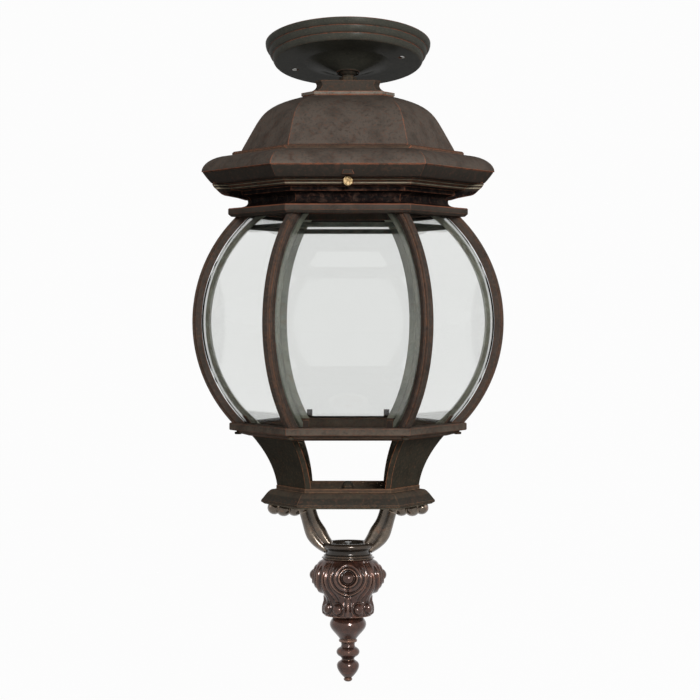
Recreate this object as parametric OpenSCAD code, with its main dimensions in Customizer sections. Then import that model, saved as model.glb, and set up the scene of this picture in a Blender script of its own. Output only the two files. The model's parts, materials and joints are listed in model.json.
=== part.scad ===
// Hexagonal ceiling lantern with bent glass panes under a round canopy.
// Millimetres, +Z up, and the front faces -Y. The origin is the centre of the
// canopy's screw circle, which is also the centre of the hang-straight swivel,
// so the lantern hangs plumb on the Z axis whatever the slope of the ceiling.
// A hexagonal section has corners on the X axis. It is given by its corner
// radius and by its stretch, which widens the front and back faces only.

/* [Canopy] */
// Outer radius of the rim on the ceiling
canopy_r = 70; // [66:0.5:78]
// Depth from the ceiling to the underside of the plate
canopy_depth = 17; // [14:0.5:22]
// Sheet thickness
canopy_wall = 1.6; // [1.2:0.1:2]
// Radius of the flat plate
plate_r = 61; // [58:0.5:63]
// Number of rounded steps on the side
canopy_steps = 3; // [2:1:4]
// Radius at which the central dish starts
dish_r = 36.5; // [30:0.5:40]
// Diameter of the circle of the two fixing holes
fixing_pcd = 96; // [88:0.5:104]
// Diameter of a fixing hole
fixing_hole_d = 5.5; // [4:0.1:6]
// Turn of the fixing holes from the X axis
fixing_turn = -20; // [-45:1:45]
// Slope of the ceiling that the canopy lies on
ceiling_slope = 12; // [0:0.5:16]

/* [Swivel] */
// Outer radius of the spherical hub
hub_r = 13.5; // [12.5:0.1:13.6]
// Thickness of the hub's wall
hub_wall = 1.5; // [1:0.1:2]
// Largest swing to each side of the canopy's axis
swing = 20; // [16:1:20]
// Running gap between the domed washer and the hub
swivel_gap = 0.08; // [0.05:0.01:0.1]
// Height of the flat top of the domed washer below the swivel's centre
washer_drop = 3.4; // [2.5:0.1:4]

/* [Hanger] */
// Outer diameter of the threaded tube
tube_d = 10; // [9:0.1:10.2]
// Bore of the threaded tube
tube_bore = 7; // [5:0.1:7.6]
// Length of the tube below the swivel's centre
tube_drop = 70; // [68:0.5:74]
// Length of the tube above the hanger nut
tube_stub = 2.5; // [1:0.1:4]
// Width across the flats of the hanger nuts
nut_af = 13; // [12.5:0.1:13.4]
// Thickness of a hanger nut
nut_h = 5; // [3:0.1:5.5]
// Thickness of the jam nut on the neck
jam_h = 3; // [2.5:0.1:4]

/* [Neck and top plate] */
// Distance from the swivel's centre down to the neck
neck_drop = 15.6; // [15:0.1:20]
// Height of the neck
neck_h = 10.2; // [8:0.1:14]
// Corner radius at the waist of the neck
neck_r = 26.6; // [24:0.1:30]
// Stretch of the neck
neck_stretch = 16.5; // [12:0.1:18]
// Corner radius of the top plate
top_plate_r = 39.6; // [38:0.1:44]
// Thickness of the top plate
top_plate_h = 3.4; // [2.5:0.1:5]
// Stretch of the top plate
top_stretch = 17.6; // [12:0.2:20]

/* [Roof] */
// Wall of the roof casting
roof_wall = 3.4; // [2.6:0.1:4]
// Height of the belled dome
dome_h = 46; // [38:0.5:52]
// Corner radius at the foot of the dome
dome_foot_r = 90.6; // [86:0.2:94]
// Stretch at the foot of the dome
dome_stretch = 7.6; // [4:0.2:10]
// Corner radius of the step under the dome
step_r = 98.3; // [96:0.1:102]
// Height of the step
step_h = 3.3; // [2.4:0.1:6]
// Stretch of the step
step_stretch = 4.8; // [0:0.2:7]
// Corner radius of the eave
eave_r = 124.4; // [118:0.2:130]
// Height of the rounded eave
eave_h = 14.2; // [12:0.2:20]
// Thickness of the flange that closes the roof below
flange_h = 4; // [3:0.1:5]

/* [Cage head] */
// Gap at the seam between the roof and the head
seam_gap = 0.2; // [0.1:0.05:0.5]
// Height of the bevelled lip under the eave
lip_h = 9.7; // [8:0.1:12]
// Distance that the foot of the lip stands back from the eave
lip_set_back = 8.1; // [6:0.1:11]
// Corner radius of the upper fillet
fillet_r = 103.8; // [102:0.2:106]
// Corner radius of the step above the recess
neck_step_r = 92.6; // [90:0.2:95]
// Height of the step above the recess
neck_step_h = 3.8; // [2:0.1:5]
// Corner radius of the recessed neck
recess_r = 85; // [83:0.2:88]
// Height from the foot of the lip to the lower band
recess_h = 20.8; // [19:0.2:26]
// Distance from the ribs' tops out to the corners of the lower band
band_rim = 12.2; // [10:0.1:14]
// Height of the lower band with its chamfer
band_h = 7.2; // [6:0.1:11]
// Corner radius of the hexagonal opening in the head
head_bore_r = 80; // [79:0.2:81]
// Corner radius of the opening in the ledge that carries the glass
ledge_bore_r = 70; // [68:0.2:72]
// Width of a screw hood at its foot
hood_w = 9.8; // [8.8:0.1:14]
// Height of a screw hood
hood_h = 6.8; // [5:0.1:8]
// Width of a side corbel
corbel_w = 10; // [7:0.5:14]

/* [Thumbscrews] */
// Thread diameter
screw_d = 4; // [3.5:0.1:4.5]
// Radial clearance in the holes
screw_gap = 0.06; // [0.03:0.01:0.1]
// Diameter of the knurled head
screw_head_d = 7.6; // [7:0.1:9]
// Length of the knurled head
screw_head_l = 6; // [5:0.1:8]
// Clearance round the knurled head in its pocket
pocket_gap = 0.5; // [0.3:0.05:0.8]
// Depth of the spot face under the knurled head
spot_face = 0.4; // [0.2:0.1:1]
// Drop of the screws below the foot of the lip
screw_drop = 2.8; // [2.6:0.1:3.2]
// Thickness of a roof tab
tab_t = 3; // [2.4:0.1:3.4]
// Width of a roof tab
tab_w = 20; // [16:0.5:24]
// Gap between a tab and the head
tab_gap = 0.5; // [0.3:0.05:0.6]
// Side of a square clamp nut
clamp_nut_w = 9; // [8:0.1:10]
// Thickness of a clamp nut
clamp_nut_t = 3.6; // [3:0.1:4]

/* [Ribs and glass] */
// Height from the cage head to the base ring
cage_h = 174.8; // [160:0.5:190]
// Radius of a rib's outer edge
rib_arc_r = 125.8; // [120:0.2:132]
// Distance of the rib arc's centre from the axis
rib_arc_in = 6.4; // [4:0.2:9]
// Drop of the rib arc's centre below the middle of the cage
arc_drop = 1.85; // [0:0.05:3]
// Width of a rib
rib_w = 9; // [7:0.2:11]
// Depth of a rib
rib_depth = 7.6; // [6:0.2:9]
// Width of the raised bead on a rib
rib_bead_w = 5.6; // [3.5:0.1:6.5]
// Height of the raised bead
rib_bead_h = 2; // [1:0.1:3]
// Thickness of a glass pane
glass_t = 2.4; // [2:0.1:3]
// Gap between the edges of two panes
glass_edge_gap = 0.6; // [0.4:0.1:1]
// Seating gap around the glass
glass_gap = 0.25; // [0.15:0.05:0.4]
// Width of an inner glass strip
strip_w = 6; // [5:0.2:7]
// Depth of an inner glass strip
strip_depth = 4.5; // [3.5:0.1:5.5]
// Height of the inner glass ring
inner_ring_h = 4; // [3:0.1:6]
// Drop of the inner glass ring below the cage head
inner_ring_drop = 7.8; // [6:0.1:9]
// Width of a glass clip
clip_w = 5; // [4:0.1:7]
// Height of a glass clip
clip_h = 6.5; // [5:0.1:8]
// Thickness of a glass clip
clip_t = 0.9; // [0.6:0.1:1.2]

/* [Base ring] */
// Distance from the rib screws out to the corners of the base ring
base_rim = 7.6; // [6.4:0.1:10]
// Height of the upper band of the ring
base_band_h = 6.3; // [4:0.1:7]
// Height of the whole ring
base_h = 11; // [9:0.1:13]
// Corner radius of the opening
base_bore_r = 69; // [67:0.2:71]
// Diameter of the rib screws
rib_screw_d = 3; // [2.5:0.1:3.5]
// Depth of the seats for the rib screws' heads
rib_screw_in = 3.1; // [2.4:0.1:3.4]

/* [Waist and tray] */
// Height of the waist
waist_h = 42.1; // [38:0.5:48]
// Corner radius at the top of the waist
waist_top_r = 81.8; // [80:0.2:85]
// Corner radius at the foot of the waist
waist_foot_r = 60.4; // [58:0.2:62]
// Share of the waist's spread that is reached half way up
waist_flare = 0.14; // [0.05:0.01:0.4]
// Stretch of the waist and the tray
waist_stretch = 10.6; // [8:0.2:13]
// Thickness of a cheek
cheek_t = 4; // [3:0.1:5]
// Height of the sill above the tray's flare
sill_h = 3.2; // [2:0.1:5]
// Corner radius at the top of the tray's flare
tray_top_r = 65; // [64:0.2:67]
// Corner radius at the tray's tip
tray_r = 74; // [71:0.2:77]
// Height from the sill to the tray's underside
tray_h = 16; // [14:0.1:19]
// Depth of the floor below the sill
floor_drop = 7.4; // [6:0.1:8.5]
// Diameter of the cap nut in the tray
cap_nut_d = 11; // [9:0.1:13]
// Height of the cap nut
cap_nut_h = 11; // [8:0.1:13]

/* [Arms and cup] */
// Width of an arm from front to back
arm_w = 13; // [10:0.2:16]
// Depth of the groove between an arm's ridges
arm_groove = 1.4; // [0.8:0.1:2]
// Distance from the axis to the outer scroll
scroll_x = 59.6; // [54:0.2:60]
// Radius of the outer scroll's ends
scroll_r = 5.1; // [4.5:0.1:5.6]
// Height from the tray down to the cup's rim
arm_h = 30.6; // [28:0.2:36]
// Outer radius of the cup's rim
cup_rim_r = 21; // [19:0.2:23]
// Radius at the waist of the cup
cup_waist_r = 19.5; // [17:0.2:20]
// Height of the cup
cup_h = 15.9; // [13:0.2:19]
// Depth of the hollow in the cup
cup_hollow = 9; // [7:0.1:10]
// Wall at the cup's rim
cup_wall = 3; // [2:0.1:4]
// Diameter of a tray screw
tray_screw_d = 4; // [3:0.1:4.1]
// Diameter of a tray screw's head
tray_screw_head_d = 7.4; // [6:0.1:8]
// Gap between each arm and the cup
arm_gap = 0.2; // [0.1:0.05:0.4]

/* [Leaf body and finial] */
// Height of the leaf body
leaf_h = 48.5; // [42:0.2:54]
// Largest radius of the leaf body
leaf_r = 29.6; // [27:0.2:32]
// Number of leaves
leaf_count = 8; // [6:1:10]
// Depth of the furrows between the leaves
leaf_relief = 2.6; // [1:0.1:3.5]
// Radius of the ball in the middle of a volute
volute_ball = 5.2; // [3:0.1:6]
// Radius of the roll that rings the ball
volute_r = 11; // [9:0.2:13]
// Height of a volute above the leaves
volute_relief = 2.3; // [1:0.1:3]
// Drop of the volutes' centres below the cup
volute_drop = 13.5; // [11:0.1:16]
// Height of the drop finial
finial_h = 57; // [50:0.5:66]
// Radius of the finial's pear
pear_r = 15.6; // [14:0.2:17]
// Radius of the finial's bead
bead_r = 9.9; // [8:0.1:11]
// Radius of the finial's bud
bud_r = 9.4; // [8:0.1:11]
// Radius of the finial's necks
finial_neck_r = 5.2; // [4.4:0.1:6]
// Diameter of the finial rod
rod_d = 6; // [5:0.1:7]

/* [Lampholder] */
// Outer radius of the lampholder
holder_r = 20; // [18:0.2:23]
// Height of the lampholder's cap
holder_cap_h = 17; // [14:0.2:20]
// Height of the lampholder's body
holder_body_h = 37; // [34:0.2:40]
// Inner radius of the screw shell
shell_r = 13.3; // [13.1:0.05:13.5]
// Length of the screw shell
shell_l = 25; // [22:0.5:27]
// Diameter of a lamp lead
lead_d = 2.2; // [1.6:0.1:2.6]

/* [Hidden] */

$fn = 72;
eps = 0.01;

// Ratio of a hexagon's flat radius to its corner radius
flat = cos(30);

// Levels on the Z axis, stacked down from the swivel's centre
neck_top = -neck_drop;
plate_top = neck_top - neck_h;
dome_top = plate_top - top_plate_h;
dome_foot = dome_top - dome_h;
step_foot = dome_foot - step_h;
eave_foot = step_foot - eave_h;
head_top = eave_foot - seam_gap;
lip_foot = head_top - lip_h;
band_top = lip_foot - recess_h;
head_foot = band_top - band_h;
base_top = head_foot - cage_h;
base_foot = base_top - base_h;
sill_top = base_foot - waist_h;
flare_top = sill_top - sill_h;
floor_z = sill_top - floor_drop;
tray_foot = sill_top - tray_h;
cup_top = tray_foot - arm_h;
cup_foot = cup_top - cup_h;
leaf_foot = cup_foot - leaf_h;
finial_tip = leaf_foot - finial_h;
rib_z = (head_foot + base_top) / 2 - arc_drop;
screw_z = lip_foot - screw_drop;
lip_r = eave_r - lip_set_back;
holder_top = -tube_drop + 6;
holder_split = holder_top - holder_cap_h;
holder_foot = holder_split - holder_body_h;
washer_top = -washer_drop;
tube_top = washer_top + nut_h + tube_stub;

// Canopy frame: heights above the plate's middle, which holds the origin
plate_under = -canopy_wall / 2;
ceiling_z = canopy_depth - canopy_wall / 2;

// Hub: spherical wall open below far enough for the tube to swing
tube_r = tube_d / 2;
hub_in_r = hub_r - hub_wall;
hub_mouth = asin(tube_r / hub_in_r) + swing + 1;
hub_edge = 50;
washer_r = hub_in_r - swivel_gap;
washer_edge = 70;

// Cage head: radial places on the thumbscrew's line
tab_out = head_bore_r * flat - tab_gap;
tab_in = tab_out - tab_t;
screw_seat_r = fillet_r - 2;
screw_seat = screw_seat_r * flat - spot_face;
flange_bore_r = (tab_in) / flat;
screw_tip = tab_in - clamp_nut_t - 2;
screw_faces = [-90, 30, 150];

// Ribs and arms: places of the screws that hold them
rib_foot = rib_arc_in + sqrt(pow(rib_arc_r - rib_depth / 2, 2) - pow(cage_h / 2 - arc_drop, 2));
rib_head = rib_arc_in + sqrt(pow(rib_arc_r - rib_depth / 2, 2) - pow(cage_h / 2 + arc_drop, 2));
base_r = rib_foot + base_rim;
band_r = rib_head + band_rim;
arm_screw_out = waist_foot_r - 12;
arm_screw_in = arm_screw_out - 10;

// Glass: the corner outline of a pane and the cylinder that fits it face-on
glass_corner_r = rib_arc_r - rib_depth - glass_gap;
cage_half = cage_h / 2;
glass_mid = flat * (rib_arc_in + glass_corner_r);
glass_end = flat * (rib_arc_in + sqrt(glass_corner_r * glass_corner_r - cage_half * cage_half));
glass_sag = glass_mid - glass_end;
glass_r = (cage_half * cage_half + glass_sag * glass_sag) / (2 * glass_sag);
glass_axis = glass_mid - glass_r;
strip_arc_r = glass_corner_r - (glass_t + glass_gap) / flat - strip_w / 2 * tan(30);
strip_in_r = strip_arc_r - strip_depth;

rib_colour = [0.30, 0.25, 0.21];
roof_colour = [0.33, 0.29, 0.25];
canopy_colour = [0.36, 0.36, 0.32];
arm_colour = [0.42, 0.33, 0.25];
brass_colour = [0.80, 0.62, 0.28];
steel_colour = [0.62, 0.62, 0.60];
porcelain_colour = [0.92, 0.91, 0.87];
glass_colour = [0.80, 0.90, 0.86, 0.35];

// ---------------------------------------------------------------- outlines

function lerp(a, b, t) = a + (b - a) * t;

// Points of a cubic Bezier curve, without its first point when skip is 1
function bezier(p, n, skip = 0) = [
    for (i = [skip:n])
        let (t = i / n, s = 1 - t)
        s * s * s * p[0] + 3 * s * s * t * p[1] + 3 * s * t * t * p[2] + t * t * t * p[3]
];

// Points of an elliptical arc about a centre
function arc(centre, rx, ry, from, to, n = 8) = [
    for (i = [0:n])
        let (a = lerp(from, to, i / n))
        [centre[0] + rx * cos(a), centre[1] + ry * sin(a)]
];

// One hexagonal ring: corner radius, stretch, height
function hex_ring(r, stretch, z) =
    let (c = (r + stretch) / 2, b = (r - stretch) * sin(60))
    [[r, 0, z], [c, b, z], [-c, b, z], [-r, 0, z], [-c, -b, z], [c, -b, z]];

// ---------------------------------------------------------------- lofts

// A closed loop of rings, such as a moulding with an outside and an inside
module loft_loop(rings) {
    n = len(rings);
    m = len(rings[0]);
    faces = [
        for (i = [0:n - 1], j = [0:m - 1])
            let (k = (i + 1) % n, l = (j + 1) % m)
            each [[i * m + j, i * m + l, k * m + j], [i * m + l, k * m + l, k * m + j]]
    ];
    polyhedron([for (ring = rings) each ring], faces, convexity = 8);
}

// A stack of rings closed by a flat face at each end
module loft_stack(rings) {
    n = len(rings);
    m = len(rings[0]);
    sides = [
        for (i = [0:n - 2], j = [0:m - 1])
            let (l = (j + 1) % m)
            each [[i * m + j, i * m + l, (i + 1) * m + j],
                  [i * m + l, (i + 1) * m + l, (i + 1) * m + j]]
    ];
    first = [for (j = [m - 1:-1:0]) j];
    last = [for (j = [0:m - 1]) (n - 1) * m + j];
    polyhedron([for (ring = rings) each ring], concat(sides, [first, last]), convexity = 8);
}

// A hexagonal moulding from a closed profile of [corner radius, height, stretch]
module hex_moulding(profile) {
    loft_loop([for (p = profile) hex_ring(p[0], p[2], p[1])]);
}

// Adds one stretch to every point of a profile
function stretched(points, stretch = 0) = [for (p = points) [p[0], p[1], stretch]];

// ---------------------------------------------------------------- placing

// Children turned so that local +X points out through one of the six corners
module at_corner(i) { rotate([0, 0, 60 * i]) children(); }

// Children turned so that local +X points out through one of the six faces
module at_face(angle) { rotate([0, 0, angle]) children(); }

// Face number 1 is the front one, and the others follow anticlockwise
function face_angle(i) = -90 + 60 * (i - 1);

// Rod along local X from one distance to another
module rod_x(from, to, r) { translate([from, 0, 0]) rotate([0, 90, 0]) cylinder(h = to - from, r = r); }

module hex_nut(z, h, af, bore_r) {
    translate([0, 0, z])
        difference() {
            cylinder(h = h, r = af / 2 / flat, $fn = 6);
            translate([0, 0, -1]) cylinder(h = h + 2, r = bore_r);
        }
}

// Pan-head screw pointing up, with its head below the seat at z
module pan_screw(z, d, length, head_d, head_h) {
    translate([0, 0, z]) cylinder(h = length, r = d / 2);
    translate([0, 0, z - head_h])
        difference() {
            rotate_extrude()
                polygon(concat([[0, 0]], arc([head_d / 2 - 0.6, 0.6], 0.6, 0.6, -90, 0, 4),
                               [[head_d / 2, head_h], [0, head_h]]));
            translate([-head_d / 3, -0.3, -1]) cube([head_d * 2 / 3, 0.6, 1.6]);
        }
}

// ---------------------------------------------------------------- canopy

// Stepped side of the canopy, from the ceiling down to the plate, moved in by t
function canopy_side(t) = [
    for (i = [0:canopy_steps - 1], k = [0:5])
        let (a = k * 18,
             dr = (canopy_r - plate_r) / canopy_steps,
             dz = canopy_depth / canopy_steps)
        [canopy_r - t - dr * (i + 1 - cos(a)), ceiling_z - (dz * (i + sin(a)))]
];

// Underside of the central dish, from the plate in to the spherical hub
function dish(rise) = bezier([
    [dish_r, plate_under + rise],
    [dish_r - 9, plate_under - 0.4 + rise],
    [hub_r * sin(hub_edge) + 10, -hub_r * cos(hub_edge) + 3.2 + rise],
    [hub_r * sin(hub_edge), -hub_r * cos(hub_edge) + rise]], 8);

function meridian(r, from, to, n) = [
    for (i = [0:n]) let (a = lerp(from, to, i / n)) [r * sin(a), -r * cos(a)]
];

module canopy() {
    inner_side = [for (p = canopy_side(canopy_wall)) if (p[1] > plate_under + canopy_wall) p];
    outline = concat(
        canopy_side(0),
        dish(0),
        meridian(hub_r, hub_edge, hub_mouth, 8),
        meridian(hub_in_r, hub_mouth, hub_edge, 8),
        [for (i = [7:-1:0]) dish(canopy_wall)[i]],
        [[plate_r - canopy_wall, plate_under + canopy_wall]],
        [for (i = [len(inner_side) - 1:-1:0]) inner_side[i]]);
    color(canopy_colour)
        rotate([-ceiling_slope, 0, 0])
            difference() {
                rotate_extrude() polygon(outline);
                for (turn = [0, 180])
                    rotate([0, 0, fixing_turn + turn])
                        translate([fixing_pcd / 2, 0, -5]) cylinder(h = 10, r = fixing_hole_d / 2);
            }
}

// ---------------------------------------------------------------- hanger

module swivel_washer() {
    start = asin((tube_r + 0.15) / washer_r);
    color(brass_colour)
        rotate_extrude()
            polygon(concat(meridian(washer_r, start, washer_edge, 16),
                           [[washer_r * sin(washer_edge), washer_top], [tube_r + 0.15, washer_top]]));
}

module hanger_tube() {
    color(steel_colour)
        difference() {
            translate([0, 0, -tube_drop]) cylinder(h = tube_top + tube_drop, r = tube_r);
            translate([0, 0, -tube_drop - 1]) cylinder(h = tube_top + tube_drop + 2, r = tube_bore / 2);
        }
}

module hanger_nut() { color(brass_colour) hex_nut(washer_top, nut_h, nut_af, tube_r + 0.05); }

module jam_nut() { color(brass_colour) hex_nut(neck_top, jam_h, nut_af, tube_r + 0.05); }

module roof_nut() {
    color(steel_colour) hex_nut(dome_top - roof_wall - nut_h, nut_h, nut_af, tube_r + 0.05);
}

module lamp_leads() {
    color("ivory")
        for (side = [-1, 1])
            translate([side * (lead_d / 2 + 0.25), 0, holder_split])
                cylinder(h = tube_top + 9 - holder_split, r = lead_d / 2, $fn = 24);
}

module earth_screw() {
    color(brass_colour)
        translate([nut_af + 5, 0, 0])
            pan_screw(dome_top - roof_wall, 3.5, 4, 7, 2.4);
}

// ---------------------------------------------------------------- neck and roof

module neck() {
    foot_r = neck_r + 6;
    outer = bezier([[neck_r + 1.2, neck_top - 1.4], [neck_r - 1.2, neck_top - 4],
                    [neck_r, plate_top + 2.6], [foot_r, plate_top + 0.8]], 8);
    profile = concat([[neck_r + 1.2, neck_top]], outer, [[foot_r, plate_top], [2, plate_top], [2, neck_top]]);
    color(roof_colour)
        difference() {
            hex_moulding([for (p = profile) [p[0], p[1], p[0] < 3 ? 0 : neck_stretch + p[0] - neck_r]]);
            translate([0, 0, plate_top - 1]) cylinder(h = neck_h + 2, r = tube_r + 0.15);
        }
}

// Belled dome from the top plate to the step, moved in by t
function dome_line(t) =
    let (r = dome_foot_r - t)
    concat(bezier([[top_plate_r - t, dome_top], [r - 23, dome_top - 0.14 * dome_h],
                   [r - 18, dome_top - 0.31 * dome_h], [r - 11, dome_top - 0.57 * dome_h]], 10),
           [[r - 2, dome_foot + 4], [r - 0.6, dome_foot + 1.4], [r, dome_foot]]);

// Quarter-round eave from the step out to the widest edge, moved in by t
function eave_line(t) = arc([step_r - t, eave_foot], eave_r - step_r, eave_h, 90, 0, 9);

// Stretch of the roof's section: long at the neck, nearly regular at the eave
function roof_stretch(z) =
    z > dome_top ? top_stretch :
    z > dome_foot ? lerp(top_stretch, dome_stretch, (dome_top - z) / dome_h) :
    z > step_foot ? step_stretch : 0;

module roof_shell() {
    inner_dome = [for (p = dome_line(roof_wall / flat)) if (p[1] < dome_top - roof_wall) p];
    outer = concat([[top_plate_r, plate_top], [top_plate_r, dome_top + 0.8], [top_plate_r - 1.6, dome_top]],
                   dome_line(0),
                   [[step_r - 1.4, dome_foot - 0.2], [step_r, dome_foot - 1.4], [step_r, step_foot]],
                   eave_line(0));
    top_in = dome_top - roof_wall;
    under_eave = [for (p = eave_line(roof_wall * 1.3))
                     if (p[1] < step_foot - roof_wall && p[1] > eave_foot + flange_h + 1) p];
    inner = concat([[flange_bore_r, eave_foot], [flange_bore_r, eave_foot + flange_h],
                    [eave_r - roof_wall * 2.2, eave_foot + flange_h]],
                   [for (i = [len(under_eave) - 1:-1:0]) under_eave[i]],
                   [[step_r - roof_wall * 2, step_foot - roof_wall], [dome_foot_r - roof_wall, step_foot - 1]]);
    line = concat(outer, inner, [for (i = [len(inner_dome) - 1:-1:0]) inner_dome[i]]);
    difference() {
        hex_moulding(concat([for (p = line) [p[0], p[1], p[0] < flange_bore_r + 1 && p[1] < step_foot
                                                          ? 0 : roof_stretch(p[1])]],
                            [[top_plate_r - 4, top_in, 14], [3, top_in, 0], [3, plate_top, 0]]));
        translate([0, 0, top_in - 1]) cylinder(h = roof_wall + top_plate_h + 2, r = tube_r + 0.15);
        translate([nut_af + 5, 0, top_in - 1]) cylinder(h = 5.2, r = 1.8);
    }
}

// Slotted tab that hangs from the flange behind one thumbscrew
module roof_tab() {
    foot = screw_z - 8;
    slot_r = screw_d / 2 + 0.4;
    difference() {
        translate([tab_in, -tab_w / 2, foot]) cube([tab_t, tab_w, eave_foot + flange_h - foot - eps]);
        translate([0, 0, screw_z]) rod_x(tab_in - 1, tab_out + 1, slot_r);
        translate([tab_in - 1, -slot_r, foot - 1]) cube([tab_t + 2, slot_r * 2, screw_z - foot + 1]);
    }
}

module roof() {
    color(roof_colour) {
        roof_shell();
        for (a = screw_faces) at_face(a) roof_tab();
    }
}

// ---------------------------------------------------------------- lampholder

module lampholder_cap() {
    color(porcelain_colour)
        difference() {
            translate([0, 0, holder_split])
                rotate_extrude()
                    polygon(concat([[0, 0], [holder_r, 0], [holder_r, 3]],
                                   arc([tube_r + 5, 3], holder_r - tube_r - 5, holder_cap_h - 3, 0, 90, 10),
                                   [[0, holder_cap_h]]));
            translate([0, 0, -tube_drop - 1]) cylinder(h = 20, r = tube_r + 0.05);
            translate([0, 0, holder_split - 1]) cylinder(h = holder_cap_h, r = tube_bore / 2);
        }
}

module lampholder_body() {
    color(porcelain_colour)
        difference() {
            translate([0, 0, holder_foot])
                rotate_extrude()
                    polygon(concat([[0, 0]], arc([holder_r - 2, 2], 2, 2, -90, 0, 4),
                                   [[holder_r, holder_body_h], [0, holder_body_h]]));
            translate([0, 0, holder_foot - 1]) cylinder(h = shell_l + 3, r = shell_r + 1);
            translate([0, 0, holder_foot]) cylinder(h = holder_body_h - 4, r = 4);
        }
}

module screw_shell() {
    color(brass_colour)
        difference() {
            translate([0, 0, holder_foot + 2]) cylinder(h = shell_l, r = shell_r + 0.9);
            translate([0, 0, holder_foot + 1]) cylinder(h = shell_l + 2, r = shell_r);
        }
}

module centre_contact() {
    contact_h = holder_body_h - 8 - shell_l;
    color(brass_colour)
        translate([0, 0, holder_foot + 4 + shell_l]) {
            cylinder(h = contact_h, r = 3.8);
            translate([0, 0, -2]) cylinder(h = 2 + eps, r = 2.4);
        }
}

// ---------------------------------------------------------------- cage head

module head_ring() {
    step_top = lip_foot - 6.4;
    step_low = step_top - neck_step_h;
    outer = concat(
        bezier([[eave_r - 0.9, head_top], [eave_r - 2.6, head_top - 2.6], [lip_r + 2.2, lip_foot + 3],
                [lip_r, lip_foot + 0.8]], 5),
        [[lip_r - 1, lip_foot + 0.2], [fillet_r + 0.6, lip_foot], [fillet_r, lip_foot - 0.4],
         [fillet_r, lip_foot - 2.2], [screw_seat_r, lip_foot - 2.6], [screw_seat_r, lip_foot - 5.4],
         [neck_step_r + 0.8, step_top + 0.4], [neck_step_r, step_top], [neck_step_r, step_low + 0.4]],
        bezier([[neck_step_r - 0.6, step_low], [recess_r + 3, step_low - 0.4],
                [recess_r, step_low - 2], [recess_r, step_low - 4.6]], 5),
        bezier([[recess_r, band_top + 4.4], [recess_r + 0.4, band_top + 2.2],
                [recess_r + 2, band_top + 1.2], [recess_r + 8.5, band_top + 0.5]], 5),
        [[band_r - 0.8, band_top], [band_r, band_top - 0.6], [band_r, head_foot + 2.2],
         [band_r - 2.6, head_foot]]);
    inner = [[ledge_bore_r, head_foot], [ledge_bore_r, band_top + 1.5], [head_bore_r, band_top + 5],
             [head_bore_r, head_top], [head_bore_r + 4.5, head_top], [head_bore_r + 7, head_top - 5],
             [lip_r - 6, head_top - 5], [eave_r - 6, head_top]];
    hex_moulding(stretched(concat(outer, inner)));
}

// Gabled hood that stands over the top of a thumbscrew
module screw_hood() {
    back = lip_r * flat - 6;
    translate([back, 0, lip_foot + 2])
        rotate([90, 0, 90])
            linear_extrude(height = 6 + 4 * flat)
                polygon([[-hood_w / 2, 0], [hood_w / 2, 0], [hood_w * 0.2, hood_h], [-hood_w * 0.2, hood_h]]);
}

// Rounded corbel that fills the corner under the lip, left and right
module corbel() {
    outline = concat(
        [[lip_r - 3.4, lip_foot + 2], [lip_r - 1.2, lip_foot - 0.9]],
        bezier([[lip_r - 3, lip_foot - 3.5], [lip_r - 7, lip_foot - 6.6], [lip_r - 7.6, lip_foot - 9.6],
                [lip_r - 14, lip_foot - 10.3]], 7),
        [[neck_step_r + 1, lip_foot - 12], [recess_r + 2.6, lip_foot - 13.8], [recess_r - 3, lip_foot - 14.2],
         [recess_r - 3, lip_foot + 2]]);
    translate([0, corbel_w / 2, 0]) rotate([90, 0, 0]) linear_extrude(height = corbel_w) polygon(outline);
}

module cage_head() {
    color(roof_colour)
        difference() {
            union() {
                head_ring();
                for (i = [0, 3]) at_corner(i) corbel();
                for (a = screw_faces) at_face(a) screw_hood();
            }
            for (a = screw_faces)
                at_face(a)
                    translate([0, 0, screw_z]) {
                        rod_x(60, 110, screw_d / 2 + screw_gap);
                        rod_x(screw_seat, 120, screw_head_d / 2 + pocket_gap);
                    }
        }
}

// ---------------------------------------------------------------- thumbscrews

module thumbscrew(angle) {
    knurls = 18;
    seat = screw_seat + 0.15;
    color(brass_colour)
        at_face(angle)
            translate([0, 0, screw_z]) {
                rod_x(screw_tip, seat + 1, screw_d / 2);
                difference() {
                    rod_x(seat, seat + screw_head_l, screw_head_d / 2);
                    for (k = [0:knurls - 1])
                        rotate([360 / knurls * k, 0, 0])
                            translate([0, 0, screw_head_d / 2 + 0.15])
                                rod_x(seat + 1, seat + screw_head_l - 1, 0.45, $fn = 16);
                }
            }
}

module thumbscrew_1() { thumbscrew(screw_faces[0]); }
module thumbscrew_2() { thumbscrew(screw_faces[1]); }
module thumbscrew_3() { thumbscrew(screw_faces[2]); }

module clamp_nuts() {
    color(steel_colour)
        for (a = screw_faces)
            at_face(a)
                translate([0, 0, screw_z])
                    difference() {
                        translate([tab_in - 0.2 - clamp_nut_t, -clamp_nut_w / 2, -clamp_nut_w / 2])
                            cube([clamp_nut_t, clamp_nut_w, clamp_nut_w]);
                        rod_x(tab_in - clamp_nut_t - 2, tab_in + 1, screw_d / 2 + screw_gap);
                    }
}

// ---------------------------------------------------------------- ribs and glass

// Arc of a bar in a corner plane, cut level at the cage head and the base ring
module corner_bar(outline) {
    intersection() {
        translate([rib_arc_in, 0, rib_z])
            rotate([90, 0, 0])
                rotate_extrude($fn = 120) polygon(outline);
        translate([20, -20, base_top]) cube([160, 40, cage_h]);
    }
}

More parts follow.
